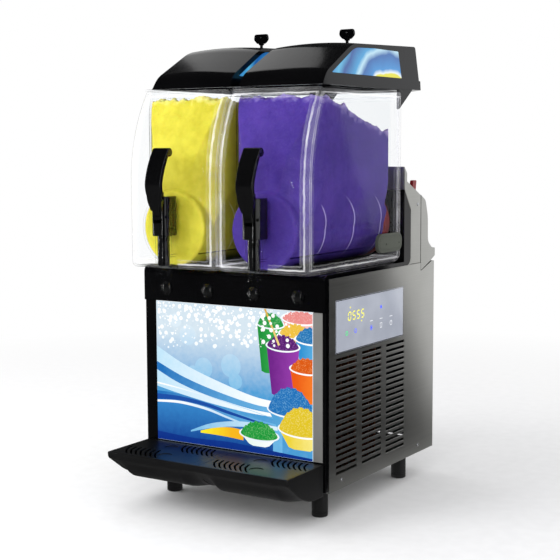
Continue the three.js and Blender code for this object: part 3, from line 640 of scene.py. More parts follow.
def feet():
    """Straight round feet with a broken lower edge and a shallow seam above the pad."""
    for place in ("front", "rear"):
        for side in SIDES:
            node = f"foot_{place}_{side}"
            low, high = box_mm(node)
            radius = (high.x - low.x) / 2
            profile = [
                (0, 0), (radius - 2.5, 0), (radius - 1, 0.7), (radius - 0.2, 1.8), (radius, 3.4),
                (radius, 8.6), (radius - 0.6, 9), (radius - 0.6, 9.8), (radius, 10.2),
                (radius, high.z - 0.8), (radius - 0.8, high.z), (0, high.z),
            ]
            mesh = turned("z", profile, 48, (low.x + high.x) / 2, (low.y + high.y) / 2)
            piece(node + "_turned", mesh, "chassis", RUBBER, (node,))


LOUVRE = Sizes(rows=20, pitch=10.9, bottom=80, width=77, columns=(25, 122, 219))


def louvre_fins(side):
    """The pressed fin under each slot, sloping inwards and down."""
    sign = SIDES[side]
    fins = []
    section = [(0, -0.4), (0.6, 0.5), (-8, 6.6), (-8.6, 5.6)]
    for start in LOUVRE.columns:
        for row in range(LOUVRE.rows):
            z = LOUVRE.bottom + row * LOUVRE.pitch
            points = [Vector((sign * (CABINET.half - 0.4 + a), z - b * 0.75)) for a, b in section]
            fins.append(prism("y", points, start - 1, start + LOUVRE.width + 1))
    piece(f"louvre_fins_{side}", together(*fins), "chassis", BRUSHED)


def pleated(first, last, pleat=5):
    """Outline of a folded mat: (place along it, depth) points."""
    count = int((last - first) // pleat)
    folds = [(first + i * pleat, 3 if i % 2 else 0) for i in range(count + 1)]
    return folds + [(first + count * pleat, 6), (first, 6)]


def air_filters():
    """The pleated black mats behind the left louvres and behind the rear ones."""
    top = LOUVRE.bottom + LOUVRE.rows * LOUVRE.pitch + 6
    left = [Vector((6 - CABINET.half + depth, place)) for place, depth in pleated(16, 306)]
    folds = pleated(REAR_VENTS.left, REAR_VENTS.right)
    rear = [Vector((place, CABINET.depth - 6 - depth)) for place, depth in folds]
    left_mat = prism("z", left, LOUVRE.bottom - 8, top)
    mats = together(left_mat, prism("z", rear, REAR_VENTS.bottom, REAR_VENTS.top))
    piece("air_filters", mats, "chassis", MATT_BLACK)


def panel_screws():
    """Small pan-head screws low on both side panels, and on the column sides."""
    for side, sign in SIDES.items():
        heads = []
        for y, z in SIDE_SCREWS:
            profile = [(0, -1), (3.4, -1), (3.4, 0.3), (2.6, 1.1), (1.2, 1.4), (0, 1.45)]
            head = turned("x", [(r, sign * p) for r, p in profile], 20, sign * CABINET.half, y, z)
            face = sign * (CABINET.half + 1.4)
            slot = box([face - 0.5, face + 0.5], [y - 2.2, y + 2.2], [z - 0.4, z + 0.4])
            heads.append(cut(head, slot))
        piece(f"panel_screws_{side}", together(*heads), "chassis", RIM_METAL)


def cabinet():
    """Panels, frame, feet, screws and vents of the lower body."""
    for side in SIDES:
        refined(f"side_panel_{side}", "chassis", BRUSHED, 0, smooth=20)
        louvre_fins(side)
    air_filters()
    refined("rear_panel", "chassis", BRUSHED, 0, smooth=20)
    refined("base_pan", "chassis", GREY_PAINT, 0.5)
    refined("front_frame", "chassis", GLOSS_BLACK, 0.8)
    refined("light_box", "chassis", LAMP_TRAY, 0.5)
    refined("power_inlet", "chassis", MATT_BLACK, 0.4)
    refined("power_switch", "power_rocker", MATT_BLACK, 0.5)
    feet()
    panel_screws()


def frame_strip():
    """The bare metal strip that closes the right side of the light panel, shown in a diffuse grey that is a
    painted reflection of its metal.
    """
    mesh = prism("z", outline([(175, -13.4), (194, -13.4, 2), (194, -11.6), (175, -11.6)]), 110.6, 379.2)
    piece("light_frame_strip", softened(mesh, 0.3), "chassis", STRIP_GREY_PAINTED_REFLECTION)


# ---- deck and column ----


def bowl_deck():
    """The black deck: a rounded fascia, a flat deck, and an upright behind the bowls with its cheeks."""
    half = CABINET.half
    under = DECK.top - DECK.thick
    side = outline([
        (DECK.face, DECK.bottom), (DECK.face, DECK.top, 13), (DECK.upright, DECK.top),
        (DECK.upright, 586), (DECK.upright + 4, 580), (DECK.upright + 4, under),
        (DECK.face + 5, under), (DECK.face + 5, DECK.bottom),
    ], 14)
    cheek = outline([
        (DECK.upright, under), (DECK.cheek, under, COLUMN.bend), (DECK.cheek, 546, 20), (DECK.upright, 586),
    ], 14)
    solids = []
    for sign in (-1, 1):
        x = sorted((sign * half, sign * (half - 4)))
        solids.append(prism("x", cheek, *x))
        solids.append(box(x, [DECK.face + 1, -0.3], [DECK.bottom, under + 1]))
    holes = [rod("y", 23, -10, 20, x=sign * BOWL.x, y=DECK.upright, z=TROUGH.z) for sign in (-1, 1)]
    body = cut(join(prism("x", side, -half, half), *solids), *holes)
    body = softened(body, 1.2, 3)
    piece("bowl_deck_moulding", body, "chassis", GLOSS_BLACK, ("bowl_deck",))
    profile = [
        (0, -4.2), (3, -4.1), (6, -3.6), (8.8, -2.6), (9.6, -1.6), (10.2, -2.2), (11.6, -2.6), (12.8, -1.8),
        (13, -0.6), (13, 0.5), (0, 0.5),
    ]
    for i, x in enumerate(CAPS.places):
        cap = turned("y", profile, 40, x, DECK.face, CAPS.z)
        piece(f"fascia_cap_{i + 1}", cap, "chassis", CAP_BLACK)


COLUMN_FRONT = [
    (DECK.cheek + 0.4, COLUMN.bottom), (DECK.cheek + 0.4, 546.6), (DECK.upright + 0.4, 587.5),
    (293.4, 631), (305, 619), (305, 603), (343, 585, 6),
    (COLUMN.seam - 0.9, 574), (COLUMN.seam - 0.9, COLUMN.bottom),
]
COLUMN_REAR = [
    (COLUMN.seam + 0.9, COLUMN.apron), (COLUMN.seam + 0.9, 574), (389, 563, 6), (400, 530, 12), (401, 480, 8),
    (419, 466, 6), (434, 464), (434, 448), (416, 439.5), (COLUMN.seam + 5, COLUMN.apron),
]


def heel():
    """The corner of the column that the deck's bent cheek leaves free."""
    corner = Vector((DECK.cheek + 0.6, COLUMN.bottom))
    shares = [i / 12 for i in range(13)]
    bend = [corner + Vector((-COLUMN.bend * (1 - t) ** 2, COLUMN.bend * t**2)) for t in shares]
    return [*bend, corner + Vector((1, COLUMN.bend)), corner + Vector((1, 0))]


def column():
    half = CABINET.half
    front = outline(COLUMN_FRONT)
    shell = cut(prism("x", front, -half, half, 1.8, 4), prism("x", inset(front, 3), 3 - half, half - 3))
    across, foot = [12 - half, half - 12], COLUMN.bottom + 6
    floor = box(across, [DECK.cheek + 6, COLUMN.seam - 6], [COLUMN.bottom - 1, foot])
    seam = box(across, [COLUMN.seam - 8, COLUMN.seam + 5], [foot, 562])
    face = box(across, [DECK.cheek - 1, DECK.cheek + 6], [foot, 540])
    body = cut(shell, floor, seam, face)
    piece("motor_column_shell", body, "chassis", COLUMN_METAL, ("motor_column",))
    heels = [prism("x", heel(), -half, 4 - half, 0.4, 2), prism("x", heel(), half - 4, half, 0.4, 2)]
    piece("column_heels", together(*heels), "chassis", COLUMN_METAL)
    rear = outline(COLUMN_REAR)
    hollow = inset(outline([*COLUMN_REAR[1:-1], (COLUMN.seam + 0.9, 439.5)]), 3)
    shell = cut(prism("x", rear, -half, half, 1.8, 4), prism("x", hollow, 3 - half, half - 3))
    seam = box(across, [COLUMN.seam - 5, COLUMN.seam + 8], [foot, 562])
    under = box([5 - half, half - 5], [COLUMN.seam - 5, 440], [COLUMN.apron - 2, COLUMN.bottom - 0.2])
    slots = [box([x - 5, x + 5], [375, 393], [545, 575]) for x in (-170, 170)]
    body = cut(shell, seam, under, *slots)
    replaced = ("column_rear_cover",)
    piece("column_rear_shell", body, "chassis", COLUMN_METAL, replaced)


# ---- bowls ----


def bowl_jacket(side):
    """The outer clear jacket: one rounded shell, open at the top for the lid and at the rear."""
    profile = outline([
        (BOWL.front, BOWL.bottom, 13), (BOWL.front - 0.5, 691, 88), (-11, BOWL.top), (BOWL.rear, BOWL.top),
        (BOWL.rear, BOWL.bottom, 20),
    ], 16)
    half, wall = BOWL.half, BOWL.wall
    outer = prism("x", profile, -half, half, BOWL.round, 6)
    inner = prism("x", inset(profile, wall), wall - half, half - wall, BOWL.round - 2, 6)
    mouth = box([wall - half, half - wall], [-7, BOWL.rear - wall], [BOWL.top - 12, BOWL.top + 1])
    rear = rod("y", TROUGH.radius + 1, 262, 300, 64, z=TROUGH.z)
    spout = box([-13, 13], [BOWL.front - 5, BOWL.front + 8], [451, 476])
    shell = cut(outer, inner, mouth, rear, spout)
    shell = shifted(shell, SIDES[side] * BOWL.x)
    name = f"bowl_jacket_{side}"
    piece(name + "_shell", shell, f"bowl_{side}", jacket_plastic_painted_edge_light(side), (name,), 30)


def vessel_form(by, top, trough_rear):
    """The space of the inner vessel, drawn in by an inset."""
    half, front, rear = VESSEL.half, VESSEL.front, VESSEL.rear
    back = min(TROUGH.rear, trough_rear)
    side = outline([
        (front + by, 500), (front - 0.5 + by, 691, 86), (-1 + by, VESSEL.top), (-1 + by, top),
        (rear - by, top), (rear - by, 562), (back, 548), (back, 500),
    ], 14)
    cross = outline([
        (by - TROUGH.radius, TROUGH.z), (by - half, 590, 20), (by - half, top), (half - by, top),
        (half - by, 590, 20), (TROUGH.radius - by, TROUGH.z),
    ], 8)
    plan = outline([
        (by - half, 300), (by - half, by + front - 2, 78), (half - by, by + front - 2, 78), (half - by, 300),
    ], 14)
    upright = prism("z", plan, 500, top + 10)
    chamber = common(prism("x", side, -100, 100), prism("y", cross, -100, 300), upright)
    radius = TROUGH.radius - by
    nose = TROUGH.front + by
    bend = [(radius - TROUGH.nose * (1 - math.sin(t)), nose + TROUGH.nose * (1 - math.cos(t)))
            for t in (0, 0.4, 0.8, 1.2, math.pi / 2)]
    trough = turned("y", [(0, nose), *bend, (radius, trough_rear), (0, trough_rear)], 72, z=TROUGH.z)
    return join(chamber, trough)


def bowl_vessel(side):
    """The inner vessel with its spout tube, hollowed."""
    rim = box([-BOWL.half, BOWL.half], [-11, BOWL.rear], [BOWL.top + 0.3, VESSEL.rim])
    spout = rod("z", SPOUT.radius, SPOUT.bottom, SPOUT.top, 40, 1.5, y=SPOUT.y)
    duct = box([-11, 11], [SPOUT.y + 5, TROUGH.front + 2], [452, 474])
    body = join(vessel_form(0, VESSEL.top, TROUGH.rear), rim, spout, duct)
    bore = rod("z", SPOUT.bore, SPOUT.bottom - 1, SPOUT.top + 1, 40, y=SPOUT.y)
    channel = box([-8, 8], [SPOUT.y + 5, TROUGH.front + 12], [456, 470])
    body = cut(body, vessel_form(VESSEL.wall, VESSEL.rim + 1, TROUGH.rear + 1), join(bore, channel))
    body = shifted(body, SIDES[side] * BOWL.x)
    name = f"bowl_vessel_{side}"
    piece(name + "_shell", body, f"bowl_{side}", VESSEL_CLEAR, (name,), 30)


SLUSH_TOP = [(-70, 764), (20, 758, 25), (105, 737, 25), (205, 703, 30), (270, 700)]


def roughened(mesh, seed):
    """Moves the surface in and out a little, and churns the top more, as scooped ice is."""
    shape = bmesh.new()
    shape.from_mesh(mesh)
    shape.normal_update()
    for vertex in shape.verts:
        place = vertex.co / 24 + Vector((seed, 0, 0))
        lump = noise.fractal(place, 0.7, 2.2, 4)
        top = max(0.0, vertex.normal.z) * (1 if vertex.co.z > 640 else 0)
        fine = noise.noise(vertex.co / 5 + Vector((0, seed, 0)))
        vertex.co += vertex.normal * (-0.35 * abs(fine))
        vertex.co.z += top * (9 * lump - 3 + 2.2 * fine)
    shape.to_mesh(mesh)
    shape.free()
    return mesh


def slush(side):
    """The ice in one bowl: a churned top, and a round room where the auger turns."""
    form = vessel_form(VESSEL.wall + 0.5, VESSEL.top, 271)
    above = prism("x", outline([*SLUSH_TOP, (300, 800), (-90, 800)], 12), -120, 120)
    body = modified(cut(form, above), ("REMESH", {"mode": "VOXEL", "voxel_size": 2.4}),
                    ("SMOOTH", {"factor": 0.5, "iterations": 2}))
    body = roughened(body, 3.1 if side == "left" else 8.4)
    swept = [(0, -54), (60, -54), (AUGER.sweep, -47.6), (AUGER.sweep, 300), (0, 300)]
    body = shifted(cut(body, turned("y", swept, 72, z=TROUGH.z)), SIDES[side] * BOWL.x)
    look = YELLOW_ICE if side == "left" else PURPLE_ICE
    piece(f"slush_{side}_ice", body, f"bowl_{side}", look, (f"slush_{side}",), 60)


def ribbon(inner, outer, width, pitch, turns, front, per_turn=56):
    """A flat ribbon wound round the Y axis."""
    section = [(inner, -width / 2), (outer - 1, -width / 2), (outer, 1 - width / 2), (outer, width / 2 - 1),
               (outer - 1, width / 2), (inner, width / 2)]
    steps = turns * per_turn
    vertices, faces = [], []
    for i in range(steps + 1):
        angle = 2 * math.pi * i / per_turn
        for radius, along in section:
            place = front + along + pitch * i / per_turn
            vertices.append((radius * math.cos(angle), place, -radius * math.sin(angle)))
    count = len(section)
    for i in range(steps):
        for k in range(count):
            a, b = count * i + k, count * i + (k + 1) % count
            faces.append((a, b, b + count, a + count))
    faces.append(tuple(range(count)))
    faces.append(tuple(range(count * steps, count * steps + count)))
    return mesh_from(vertices, faces)


def chiller(side):
    """The cold cylinder, its shaft, the auger that turns round it, and the rear gasket."""
    x = SIDES[side] * BOWL.x
    helix = ribbon(AUGER.inner, AUGER.outer, AUGER.width, AUGER.pitch, AUGER.turns, AUGER.front)
    hub = rod("y", 15, AUGER.front - 4, AUGER.front + 4, 40, 1.5)
    bar = box([2 - AUGER.outer, AUGER.outer - 2], [AUGER.front - 3, AUGER.front + 3], [-7, 7])
    mesh = shifted(join(helix, hub, softened(bar, 1.5)), x, 0, TROUGH.z)
    piece(f"auger_{side}_helix", mesh, f"auger_{side}", AUGER_PLASTIC, (f"auger_{side}",))
    end = box_mm(f"evaporator_{side}")[1].y
    profile = [
        (0, -40), (46, -40), (50, -39), (54, -36.5), (56, -32), (56, end - 28),
        (22, end - 27.6), (22, end), (0, end),
    ]
    bore = rod("y", 8, -45, end + 5, 32)
    mesh = shifted(cut(turned("y", profile, 64), bore), x, 0, TROUGH.z)
    piece(f"evaporator_{side}_drum", mesh, "chassis", INNER_STEEL, (f"evaporator_{side}",))
    low, high = box_mm(f"drive_shaft_{side}")
    mesh = rod("y", (high.x - low.x) / 2, low.y, high.y, 32, 0.6, x=x, z=TROUGH.z)
    name = f"drive_shaft_{side}"
    piece(name + "_turned", mesh, f"auger_{side}", INNER_STEEL, (name,))
    low, high = box_mm(f"bowl_gasket_{side}")
    radius, end = (high.x - low.x) / 2, high.y
    hole, lip = radius - 12.6, end - 18.7
    profile = [
        (0, end), (radius, end), (radius, end - 12), (radius - 1.5, end - 15), (radius - 4, end - 18),
        (radius - 9, lip), (hole, lip), (0, lip),
    ]
    disc = turned("y", profile, 64)
    mesh = shifted(cut(disc, rod("y", hole, low.y - 5, end + 5, 64)), x, 0, TROUGH.z)
    piece(f"bowl_gasket_{side}_ring", mesh, "chassis", GASKET, (f"bowl_gasket_{side}",))


def bowl_latch(side):
    """A flat catch with round ends, a raised middle and two pinholes."""
    node = f"bowl_latch_{side}"
    low, high = box_mm(node)
    y, z = (low.y + high.y) / 2, (low.z + high.z) / 2
    across, up = (high.y - low.y) / 2, (high.z - low.z) / 2
    shape = outline([(-across, -up, up), (-across, up, up), (across, up, up), (across, -up, up)], 14)
    at_place = [point + Vector((y, z)) for point in shape]
    plate = prism("x", at_place, low.x, high.x, 1.6, 4)
    holes = [rod("x", 1.7, low.x - 1, high.x + 1, 20, y=y + place, z=z - 2) for place in (-17, 36)]
    outer = high.x if SIDES[side] > 0 else low.x
    groove_ring = prism("x", inset(at_place, 5), outer - 0.7, outer + 0.7)
    groove_core = prism("x", inset(at_place, 6), outer - 0.8, outer + 0.8)
    mesh = cut(plate, cut(groove_ring, groove_core), *holes)
    piece(node + "_catch", mesh, f"latch_{side}", OLIVE, (node,))


# ---- taps ----


def tap_housing(side):
    """The block that the lever hangs in, with a well for the spring and a throat for the piston."""
    x = SIDES[side] * BOWL.x
    half, front, rear = TAP.half, TAP.front, TAP.rear
    shape = outline([(-half, rear, 9), (half, rear, 9), (half, front, 16), (-half, front, 16)], 12)
    block = prism("z", shape, TAP.bottom, TAP.top, 2.2, 4)
    well = box([-TAP.slot, TAP.slot], [-92, -70], [TAP.bottom + 2, TAP.top - 4])
    mouth = box([-TAP.slot, TAP.slot], [front - 1, -91], [PIVOT.z - 11, TAP.top + 1])
    throat = rod("z", SPOUT.bore + 0.5, TAP.bottom - 1, TAP.bottom + 15, 32, y=SPOUT.y)
    bore = rod("x", PIVOT.pin + 0.3, -30, 30, 24, y=PIVOT.y, z=PIVOT.z)
    mesh = softened(cut(block, well, mouth, throat, bore), 0.6)
    name = f"tap_housing_{side}"
    piece(name + "_block", shifted(mesh, x), f"bowl_{side}", TAP_BLACK, (name,))
    pin = rod("x", PIVOT.pin, -PIVOT.length, PIVOT.length, 24, 0.4, x, PIVOT.y, PIVOT.z)
    piece(f"lever_pin_{side}_turned", pin, f"bowl_{side}", RIM_METAL, (f"lever_pin_{side}",))


def tap_piston(side):
    """The valve: a wide plug with a groove, a thin stem, and the collar that the lever lifts."""
    profile = [
        (0, 455), (8, 455), (9.6, 455.8), (11, 458), (11, 496), (10.3, 497), (10.3, 499), (11, 500),
        (11, 510), (10.6, 510.5), (4, 510.5), (4, 548), (7.2, 548), (7.5, 548.4), (7.5, 551.6), (7.2, 552),
        (4, 552), (4, 555.5), (3.5, 556), (0, 556),
    ]
    mesh = turned("z", profile, 40, SIDES[side] * BOWL.x, SPOUT.y)
    name = f"tap_piston_{side}"
    piece(name + "_turned", mesh, f"piston_{side}", TAP_BLACK, (name,))


def tap_spring(side):
    """A wound wire spring in the housing, over the piston's stem."""
    low, high = box_mm(f"tap_spring_{side}")
    wire, radius, turns, per_turn = 0.6, 6, 6, 24
    rings = []
    for i in range(turns * per_turn + 1):
        angle = 2 * math.pi * i / per_turn
        z = low.z + wire + (high.z - low.z - 2 * wire) * i / (turns * per_turn)
        out = Vector((math.cos(angle), math.sin(angle), 0))
        ring = [out * (radius + wire * math.cos(a)) + Vector((0, 0, z + wire * math.sin(a)))
                for a in (2 * math.pi * k / 8 for k in range(8))]
        rings.append(ring)
    vertices = [v + Vector((SIDES[side] * BOWL.x, SPOUT.y, 0)) for ring in rings for v in ring]
    faces = []
    for i in range(len(rings) - 1):
        for k in range(8):
            a, b = 8 * i + k, 8 * i + (k + 1) % 8
            faces.append((a, b, b + 8, a + 8))
    faces += [tuple(range(8)), tuple(range(len(vertices) - 8, len(vertices)))]
    name = f"tap_spring_{side}"
    coil = mesh_from(vertices, faces)
    made = piece(name + "_coil", coil, f"bowl_{side}", INNER_STEEL, (name,))
    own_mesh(made)


def tap_lever(side):
    """A long curved grip rolled over at its top; below it an apron narrows over the housing's front.

    Inside the housing a stalk and a forked finger reach under the piston's collar.
    """
    half, arm, gap, tip = LEVER.half, LEVER.arm, LEVER.gap, LEVER.tip
    face = TAP.front - gap
    grip = outline([
        (-113, 584, 1.5), (-118.5, 602, 12), (-109, 638, 20), (-91, 668, 4), (-84, 663), (-100, 634, 20),
        (-109.5, 602, 12), (-105.5, 584),
    ], 14)
    apron_side = outline([(-112, 590), (-111.4, 574, 8), (face - 0.7, tip), (face, tip), (face, 590)], 12)
    apron_front = outline([
        (-half + 0.6, 592), (-half + 0.6, 578, 8), (-12, tip - 2),
        (12, tip - 2), (half - 0.6, 578, 8), (half - 0.6, 592),
    ], 12)
    apron = common(prism("x", apron_side, -half, half), prism("y", apron_front, -130, -90))
    apron = softened(apron, 1.4, 3, 50)
    stalk = outline([
        (-104, 545), (-111, 574, 8), (-112, 596), (-107, 592), (-98, 576, 6), (-90.5, 566), (-90.5, 541),
        (-97, 541),
    ], 10)
    finger = box([-arm, arm], [-96, -77], [541, 547.5])
    fork = box([-4.8, 4.8], [-92, -70], [530, 570])
    collar_room = rod("z", 8.2, 547.7, 572, 40, y=SPOUT.y)
    roll = rod("x", 8, -half, half, 40, 1.5, y=-86, z=661)
    boss = rod("x", PIVOT.boss, -arm, arm, 40, 0.5, y=PIVOT.y, z=PIVOT.z)
    bore = rod("x", PIVOT.pin + 0.4, -30, 30, 24, y=PIVOT.y, z=PIVOT.z)
    upper = join(prism("x", grip, -half, half, 1.8, 4), roll, apron)
    mesh = cut(join(upper, prism("x", stalk, -arm, arm, 0.6, 2), boss, finger), fork, collar_room, bore)
    mesh = shifted(mesh, SIDES[side] * BOWL.x)
    name = f"tap_lever_{side}"
    piece(name + "_grip", mesh, f"lever_{side}", TAP_BLACK, (name,), 32)


# ---- lids ----

LID_SIDE = [
    (0, LID.bottom - 12), (0, LID.bottom), (16, 801, 12), (117, 855.5, 22), (372, LID.top, 6),
    (LID.rear - 6, 799), (LID.rear, 799), (LID.rear, 781), (292, 781), (292, LID.bottom - 12),
]
WINDOW_SIDE = [(34, 800, 5), (124, 849, 16), (200, 852, 2), (297, 852, 2), (306, 801, 2)]
GUSSET_SIDE = [(296, 783), (359, 783), (350, 776), (300, 742), (296, 742)]


def lid_taper(by):
    """The hood's outline from the front, drawn in by a distance: upright, then leaning in."""
    low, top = LID.half - by, LID.top + 8
    high = low - LID.taper
    right = [(high, top), (low, LID.bottom), (low, 700)]
    left = [(-x, z) for x, z in reversed(right)]
    return [Vector(point) for point in left + right]


def lid_form(by, rounding):
    """The hood's solid: its side outline, lower towards both sides so that the top is crowned."""
    points = outline(LID_SIDE, 12)
    places = [LID.half * (i / 8) for i in range(-8, 9)]
    rings = [(inset(points, by - LID.crown * (1 - (x / LID.half) ** 2)), x) for x in places]
    above = box([-100, 100], [-20, 400], [LID.bottom + by / 3, 900])
    body = common(loft("x", rings), prism("y", lid_taper(by), -20, 400), above)
    return softened(body, rounding, 4, 50) if rounding else body


def lid(side):
    """The gloss hood with a window in each side and two gussets under its overhang."""
    x = SIDES[side] * BOWL.x
    half, wall, bottom = LID.half, LID.wall, LID.bottom
    mouth = box([wall - half, half - wall], [6, 288], [bottom - 1, bottom + 8])
    windows = prism("x", outline(WINDOW_SIDE), -half - 1, half + 1)
    key_hole = rod("z", 3.5, 838, 880, 24, y=245)
    ends = ((3 - half, 7 - half), (half - 7, half - 3))
    gussets = [prism("x", outline(GUSSET_SIDE), *pair, 0.5, 2) for pair in ends]
    body = join(cut(lid_form(0, 2.4), lid_form(wall, 0), mouth, windows, key_hole), *gussets)
    name = f"lid_{side}"
    piece(name + "_hood", shifted(body, x), name, GLOSS_BLACK, (name,), 34)


def lid_window(side):
    """The lit panes with their printed waves, and the lamp bar between them."""
    x = SIDES[side] * BOWL.x
    pane = common(prism("x", inset(outline(WINDOW_SIDE), 0.3), -LID.half, LID.half), lid_form(0, 0))
    inside = prism("y", lid_taper(LID.wall), -30, 410)
    bar = box([5.5 - LID.half, LID.half - 5.5], [195, 235], [822, 834])
    mesh = join(cut(pane, inside), bar)
    name = f"lid_light_{side}"
    piece(name + "_panes", shifted(mesh, x), f"lid_{side}", lid_print(), (name,))


def lid_print():
    """Backlit waves: concentric bands of blue, a pale crescent and a yellow corner."""
    found = bpy.data.materials.get("lid_print")
    if found:
        return found
    look = Look("lid_print", Roughness=0.15, Coat_Weight=0.4, Coat_Roughness=0.05)
    y, z = look.along("Y"), look.along("Z")
    across = look.math("POWER", look.math("SUBTRACT", y, 250), 2.0)
    up = look.math("POWER", look.math("SUBTRACT", z, 700), 2.0)
    reach = look.math("SQRT", look.math("ADD", across, up))
    wavy = look.math("ADD", reach, look.grey(look.noise(16, 2), -5, 5))
    bands = look.ramp(look.grey(wavy, 0, 1, 90, 240), [
        (0.0, rgb("#f4e21a")), (0.13, rgb("#e9e32a")), (0.15, rgb("#eef8ff")), (0.2, rgb("#2f8fd6")),
        (0.36, rgb("#1b62ad")), (0.44, rgb("#bfe6f7")), (0.5, rgb("#3ba0d9")), (0.72, rgb("#174f9b")),
        (0.84, rgb("#58b7e2")), (1.0, rgb("#2b7cc4")),
    ])
    return lit_print(look, bands, 0.85)


def lid_key(side):
    """A turn key: a flat rounded head with a pinhole, on a stem."""
    x = SIDES[side] * BOWL.x
    head = outline([(-9, 876, 3), (-17, 884, 4), (-15, 895, 4), (15, 895, 4), (17, 884, 4), (9, 876, 3)], 8)
    plate = prism("y", head, -3, 3, 1.6, 4)
    plate = cut(plate, rod("y", 1.8, -5, 5, 20, z=889))
    profile = [(0, 850), (2.6, 850), (3, 850.4), (3, 873), (5, 873.6), (5.6, 875), (4, 878.5), (0, 878.5)]
    stem = turned("z", profile, 32)
    mesh = shifted(join(plate, stem), x, 245)
    piece(f"lid_key_{side}_knob", mesh, f"key_{side}", GLOSS_BLACK, (f"lid_key_{side}",))


# ---- drip tray ----


def tray_section(x):
    """The tray's outline at one place across: fuller under the middle of each grille."""
    away = abs(abs(x) - LOBE.x) - LOBE.half
    share = 1 - min(1.0, max(0.0, away / LOBE.fade))
    bulge = LOBE.reach * share * share * (3 - 2 * share)
    return outline([
        (TRAY.rear, TRAY.top), (TRAY.front, TRAY.top, 3), (TRAY.front, 97, 6),
        (-121 - bulge * 0.25, 86, 4), (-88 - bulge * 1.2, 62 + bulge * 0.05, 16),
        (-57 - bulge * 1.1, TRAY.bottom, 16), (TRAY.rear, TRAY.bottom),
    ], 12)


def drip_tray():
    """The tray with two lobes under it, and a basin under each grille."""
    half, front, rear, bottom, top = TRAY.half, TRAY.front, TRAY.rear, TRAY.bottom, TRAY.top
    edges = [(2.2 * (1 - math.sin(t)), 2.2 * (1 - math.cos(t))) for t in (0, 0.5, 1.0, math.pi / 2)]
    rings = [(inset(tray_section(half), depth), place - half) for depth, place in edges]
    steps = 96
    rings += [(tray_section(x), x) for x in (half * (2 * i / steps - 1) for i in range(2, steps - 1))]
    rings += [(inset(tray_section(half), depth), half - place) for depth, place in reversed(edges)]
    body = loft("x", rings)
    notch = outline([(-9, bottom - 6), (-4, 62, 6), (0, 79, 3), (4, 62, 6), (9, bottom - 6)])
    tools = [prism("y", notch, front - 5, rear + 5)]
    for sign in (-1, 1):
        x = sign * 100
        tools.append(box([x - 92.5, x + 92.5], [-132.5, -17.5], [104.7, top + 1]))
        basin = outline([
            (rear - 8, 107), (front + 10, 107), (front + 12, 94), (-116, 89), (-85, 66, 15),
            (-55, bottom + 4, 15), (rear - 8, bottom + 4),
        ])
        tools.append(prism("x", basin, x - 87, x + 87))
    mesh = softened(cut(body, *tools), 0.7)
    piece("drip_tray_moulding", mesh, "drip_tray", MATT_BLACK, ("drip_tray",))
    for side_name in SIDES:
        refined(f"drip_grille_{side_name}", f"grille_{side_name}", GRILLE_BLACK, 0.5)


# ---- inside the cabinet and small parts ----


def machinery():
    """The CAD nodes that keep their shape: cooling, fan, gear motors and the two adjusters."""
    refined("compressor", "chassis", COMPRESSOR_BLACK, 1.5, 3)
    refined("condenser", "chassis", COPPER, 0.3, 1)
    refined("fan_motor", "chassis", GREY_PAINT, 1.2, 3)
    refined("fan_blade", "fan", MATT_BLACK, 0.6)
    for side in SIDES:
        refined(f"gearmotor_{side}", "chassis", GREY_PAINT, 1.5, 3)
        refined(f"thickness_adjuster_{side}", f"adjuster_{side}", RED_TAB, 1, 3)


# ---- control panel ----

# The two ends of each bar of a figure that is 1 wide and 2 high.
SEGMENTS = {
    "a": ((0.18, 2), (0.82, 2)),
    "b": ((1, 1.82), (1, 1.18)),
    "c": ((1, 0.82), (1, 0.18)),
    "d": ((0.18, 0), (0.82, 0)),
    "e": ((0, 0.82), (0, 0.18)),
    "f": ((0, 1.82), (0, 1.18)),
    "g": ((0.18, 1), (0.82, 1)),
}
DIGITS = {"0": "abcdef", "5": "acdfg"}


def flat_shape(points, x, thick=0.12):
    """A thin raised print on the outer face of the control glass."""
    return prism("x", points, x - 0.05, x + thick)


def stroke(start, end, width):
    """A bar with pointed ends between two places."""
    a, b = Vector(start), Vector(end)
    along = (b - a).normalized() * width / 2
    side = Vector((-along.y, along.x))
    return [a - along * 0.6, a + side, b + side, b + along * 0.6, b - side, a - side]


def display():
    """Four seven-segment figures and two small dots."""
    x = CONTROL_HI.x
    high, lean = DISPLAY.high, DISPLAY.lean
    bars = []
    for i, figure in enumerate("0555"):
        left = DISPLAY.y + i * DISPLAY.pitch
        for segment in DIGITS[figure]:
            ends = []
            for a, b in SEGMENTS[segment]:
                ends.append((left + a * DISPLAY.cell + lean * b * high / 2, DISPLAY.z + b * high / 2))
            bars.append(flat_shape(stroke(*ends, DISPLAY.bar), x))
    for y, z in ((77, 380), (120, 351)):
        bars.append(flat_shape(ellipse((y, z), 1.5, 1.5, 14), x))
    return together(*bars)


def ring(centre, radius, width, x):
    """A raised ring, measured to its outer edge."""
    outer = flat_shape(ellipse(centre, radius, radius), x)
    inner = prism("x", ellipse(centre, radius - width, radius - width), x - 1, x + 1)
    return cut(outer, inner)


